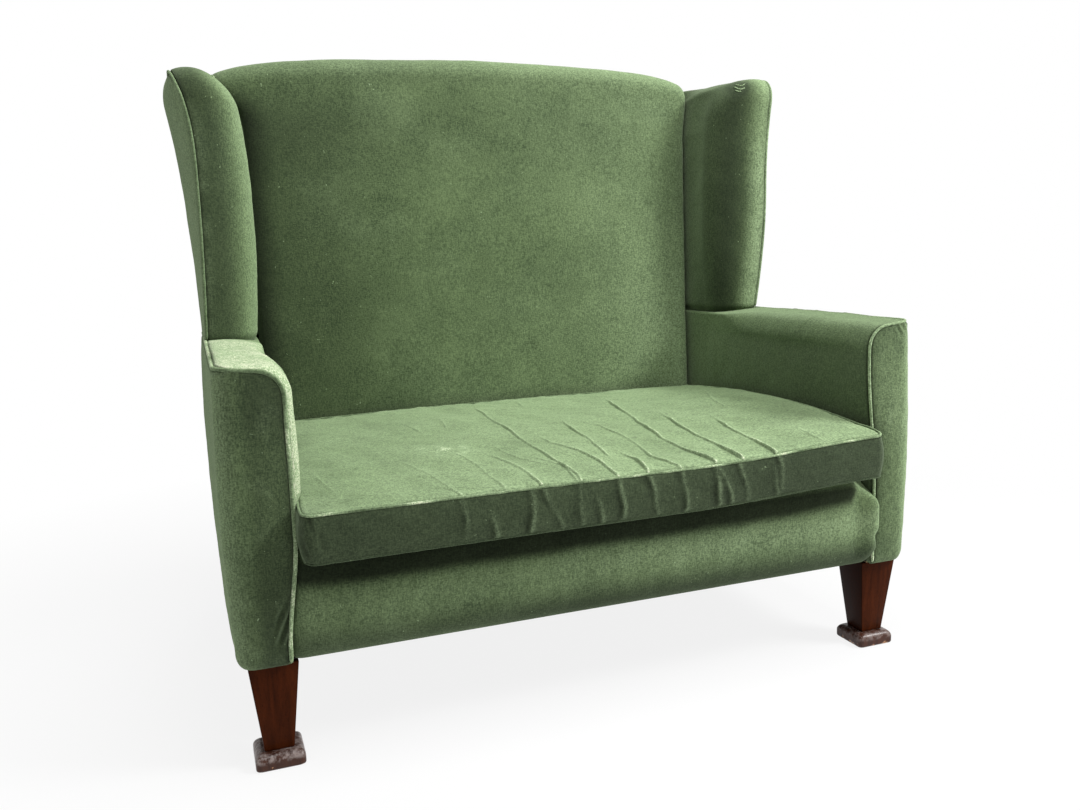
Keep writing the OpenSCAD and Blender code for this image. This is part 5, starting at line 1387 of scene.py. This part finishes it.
VELVET = velvet("velvet", VELVET_MID)
PIPING_CLOTH = velvet("velvet piping", PIPING_MID, 0.6)
MAHOGANY = wood("mahogany", (0.024, 0.0054, 0.0014, 1), (0.080, 0.0175, 0.0042, 1), 0.34, 0.035)
FOOT_WOOD = wood("foot block", (0.020, 0.0072, 0.0042, 1), (0.085, 0.027, 0.013, 1), 0.30, 0.30, chipped=True)
BEECH = wood("beech", (0.44, 0.28, 0.15, 1), (0.62, 0.44, 0.27, 1), 0.6, 0.0)
JUTE = weave_cloth("jute", (0.22, 0.16, 0.08, 1), (0.46, 0.37, 0.22, 1), 500)
DUST_CLOTH = weave_cloth("black dust cloth", (0.006, 0.006, 0.007, 1), (0.022, 0.022, 0.024, 1), 900)
SPRING_STEEL = steel("spring steel", (0.42, 0.42, 0.43, 1))
HAIR = filling("hair", (0.09, 0.06, 0.035, 1), (0.30, 0.23, 0.15, 1))
SLOT_MATERIALS = {
    "velvet": VELVET, "velvet_piping": PIPING_CLOTH, "mahogany": MAHOGANY, "foot_block": FOOT_WOOD,
    "beech": BEECH, "jute": JUTE, "hair_stuffing": HAIR, "cushion_filling": HAIR,
    "dust_cloth": DUST_CLOTH, "spring_steel": SPRING_STEEL, "screw_steel": SPRING_STEEL}

for part in frame["record"]["subparts"]:
    set_material(frame["nodes"][part["node"]], SLOT_MATERIALS[part["material_slot"]])
for hand in HANDS:
    for make in (inside_wing, outside_wing, inside_arm, outside_arm, wing_piping, arm_piping,
                 front_leg, rear_leg, foot_block):
        make(hand)
for make in (inside_back, front_border, platform, outside_back, dust_cover, seat_cushion, cushion_pipings):
    make()


# Floor, light and camera

FLOOR_HALF = 6.0
FLOOR_GREY = 0.86
# How much plain white the camera sees in the floor: under the settee and, with both distances, far away
FLOOR_WHITE = 0.86
FLOOR_NEAR = 0.75
FLOOR_FAR = 2.1
WORLD_LIGHT = 0.22

# The camera: its place with y from the arm fronts, its angles in degrees, and its focal length in pixels
CAMERA_PLACE = (-0.6732, -1.5094, 0.8327)
CAMERA_TURN = (19.82, 9.31, -1.97)
FOCAL_PX = 958.89
PHOTO_W = 1080
SENSOR_W = 36

# Lamps: the name, the place, the point that it aims at, the two sides and the power
LAMPS = [("overhead", (0.2, -0.8, 3.2), (0, 0.1, 0.5), (1.6, 1.2), 64),
         ("key", (2.5, -1.8, 2.6), (0, 0.1, 0.5), (1.0, 1.0), 116),
         ("left fill", (-2.8, -1.6, 1.5), (0, 0, 0.6), (1.6, 1.6), 4)]


def make_floor():
    mesh = bpy.data.meshes.new("floor")
    corners = [(a * FLOOR_HALF, b * FLOOR_HALF, 0) for a, b in ((-1, -1), (1, -1), (1, 1), (-1, 1))]
    mesh.from_pydata(corners, [], [(0, 1, 2, 3)])
    floor = bpy.data.objects.new("floor", mesh)
    bpy.context.scene.collection.objects.link(floor)
    m = Material("pale floor")
    material = m.surface({"Base Color": (FLOOR_GREY, FLOOR_GREY, FLOOR_GREY, 1), "Roughness": 0.9})
    distance = m.out("ShaderNodeVectorMath", "Value", {0: m.place()}, operation="LENGTH")
    share = m.seen() * m.span(distance, FLOOR_NEAR, FLOOR_FAR, FLOOR_WHITE, 1.0)
    mixed = m.background("ShaderNodeEmission", 1.0, Wire(m, m.shader.outputs[0]), share)
    m.fill(m.tree.nodes["Material Output"], {"Surface": mixed})
    set_material(floor, material)


def make_world():
    """Even pale light, and a white background where the camera looks past the settee."""
    world = bpy.data.worlds.new("studio")
    bpy.context.scene.world = world
    world.use_nodes = True
    world.node_tree.nodes.clear()
    n = Nodes(world.node_tree)
    dim = n.out("ShaderNodeBackground", 0, {"Color": WHITE, "Strength": WORLD_LIGHT})
    n.add("ShaderNodeOutputWorld", {"Surface": n.background("ShaderNodeBackground", 1.0, dim, n.seen())})


def area_light(name, place, aim, size, power):
    data = bpy.data.lights.new(name, "AREA")
    data.shape = "RECTANGLE"
    data.size, data.size_y = size
    data.energy = power
    lamp = bpy.data.objects.new(name, data)
    lamp.location = place
    lamp.rotation_euler = (Vector(aim) - Vector(place)).to_track_quat("-Z", "Y").to_euler()
    bpy.context.scene.collection.objects.link(lamp)


def make_camera():
    yaw, pitch, roll = [math.radians(angle) for angle in CAMERA_TURN]
    ahead = Vector((math.sin(yaw) * math.cos(pitch), math.cos(yaw) * math.cos(pitch), -math.sin(pitch)))
    right = Vector((math.cos(yaw), -math.sin(yaw), 0))
    up = right.cross(ahead)
    turned_right = math.cos(roll) * right + math.sin(roll) * up
    turned_up = -math.sin(roll) * right + math.cos(roll) * up
    data = bpy.data.cameras.new("camera")
    data.sensor_width = SENSOR_W
    data.lens = FOCAL_PX * SENSOR_W / PHOTO_W
    camera = bpy.data.objects.new("camera", data)
    turn = Matrix((turned_right, turned_up, -ahead)).transposed().to_4x4()
    camera.matrix_world = Matrix.Translation(Vector(CAMERA_PLACE) + Vector((0, FRONT_Y, 0))) @ turn
    bpy.context.scene.collection.objects.link(camera)
    bpy.context.scene.camera = camera


make_floor()
make_world()
for lamp in LAMPS:
    area_light(*lamp)
make_camera()
bpy.context.scene.view_settings.view_transform = "Standard"
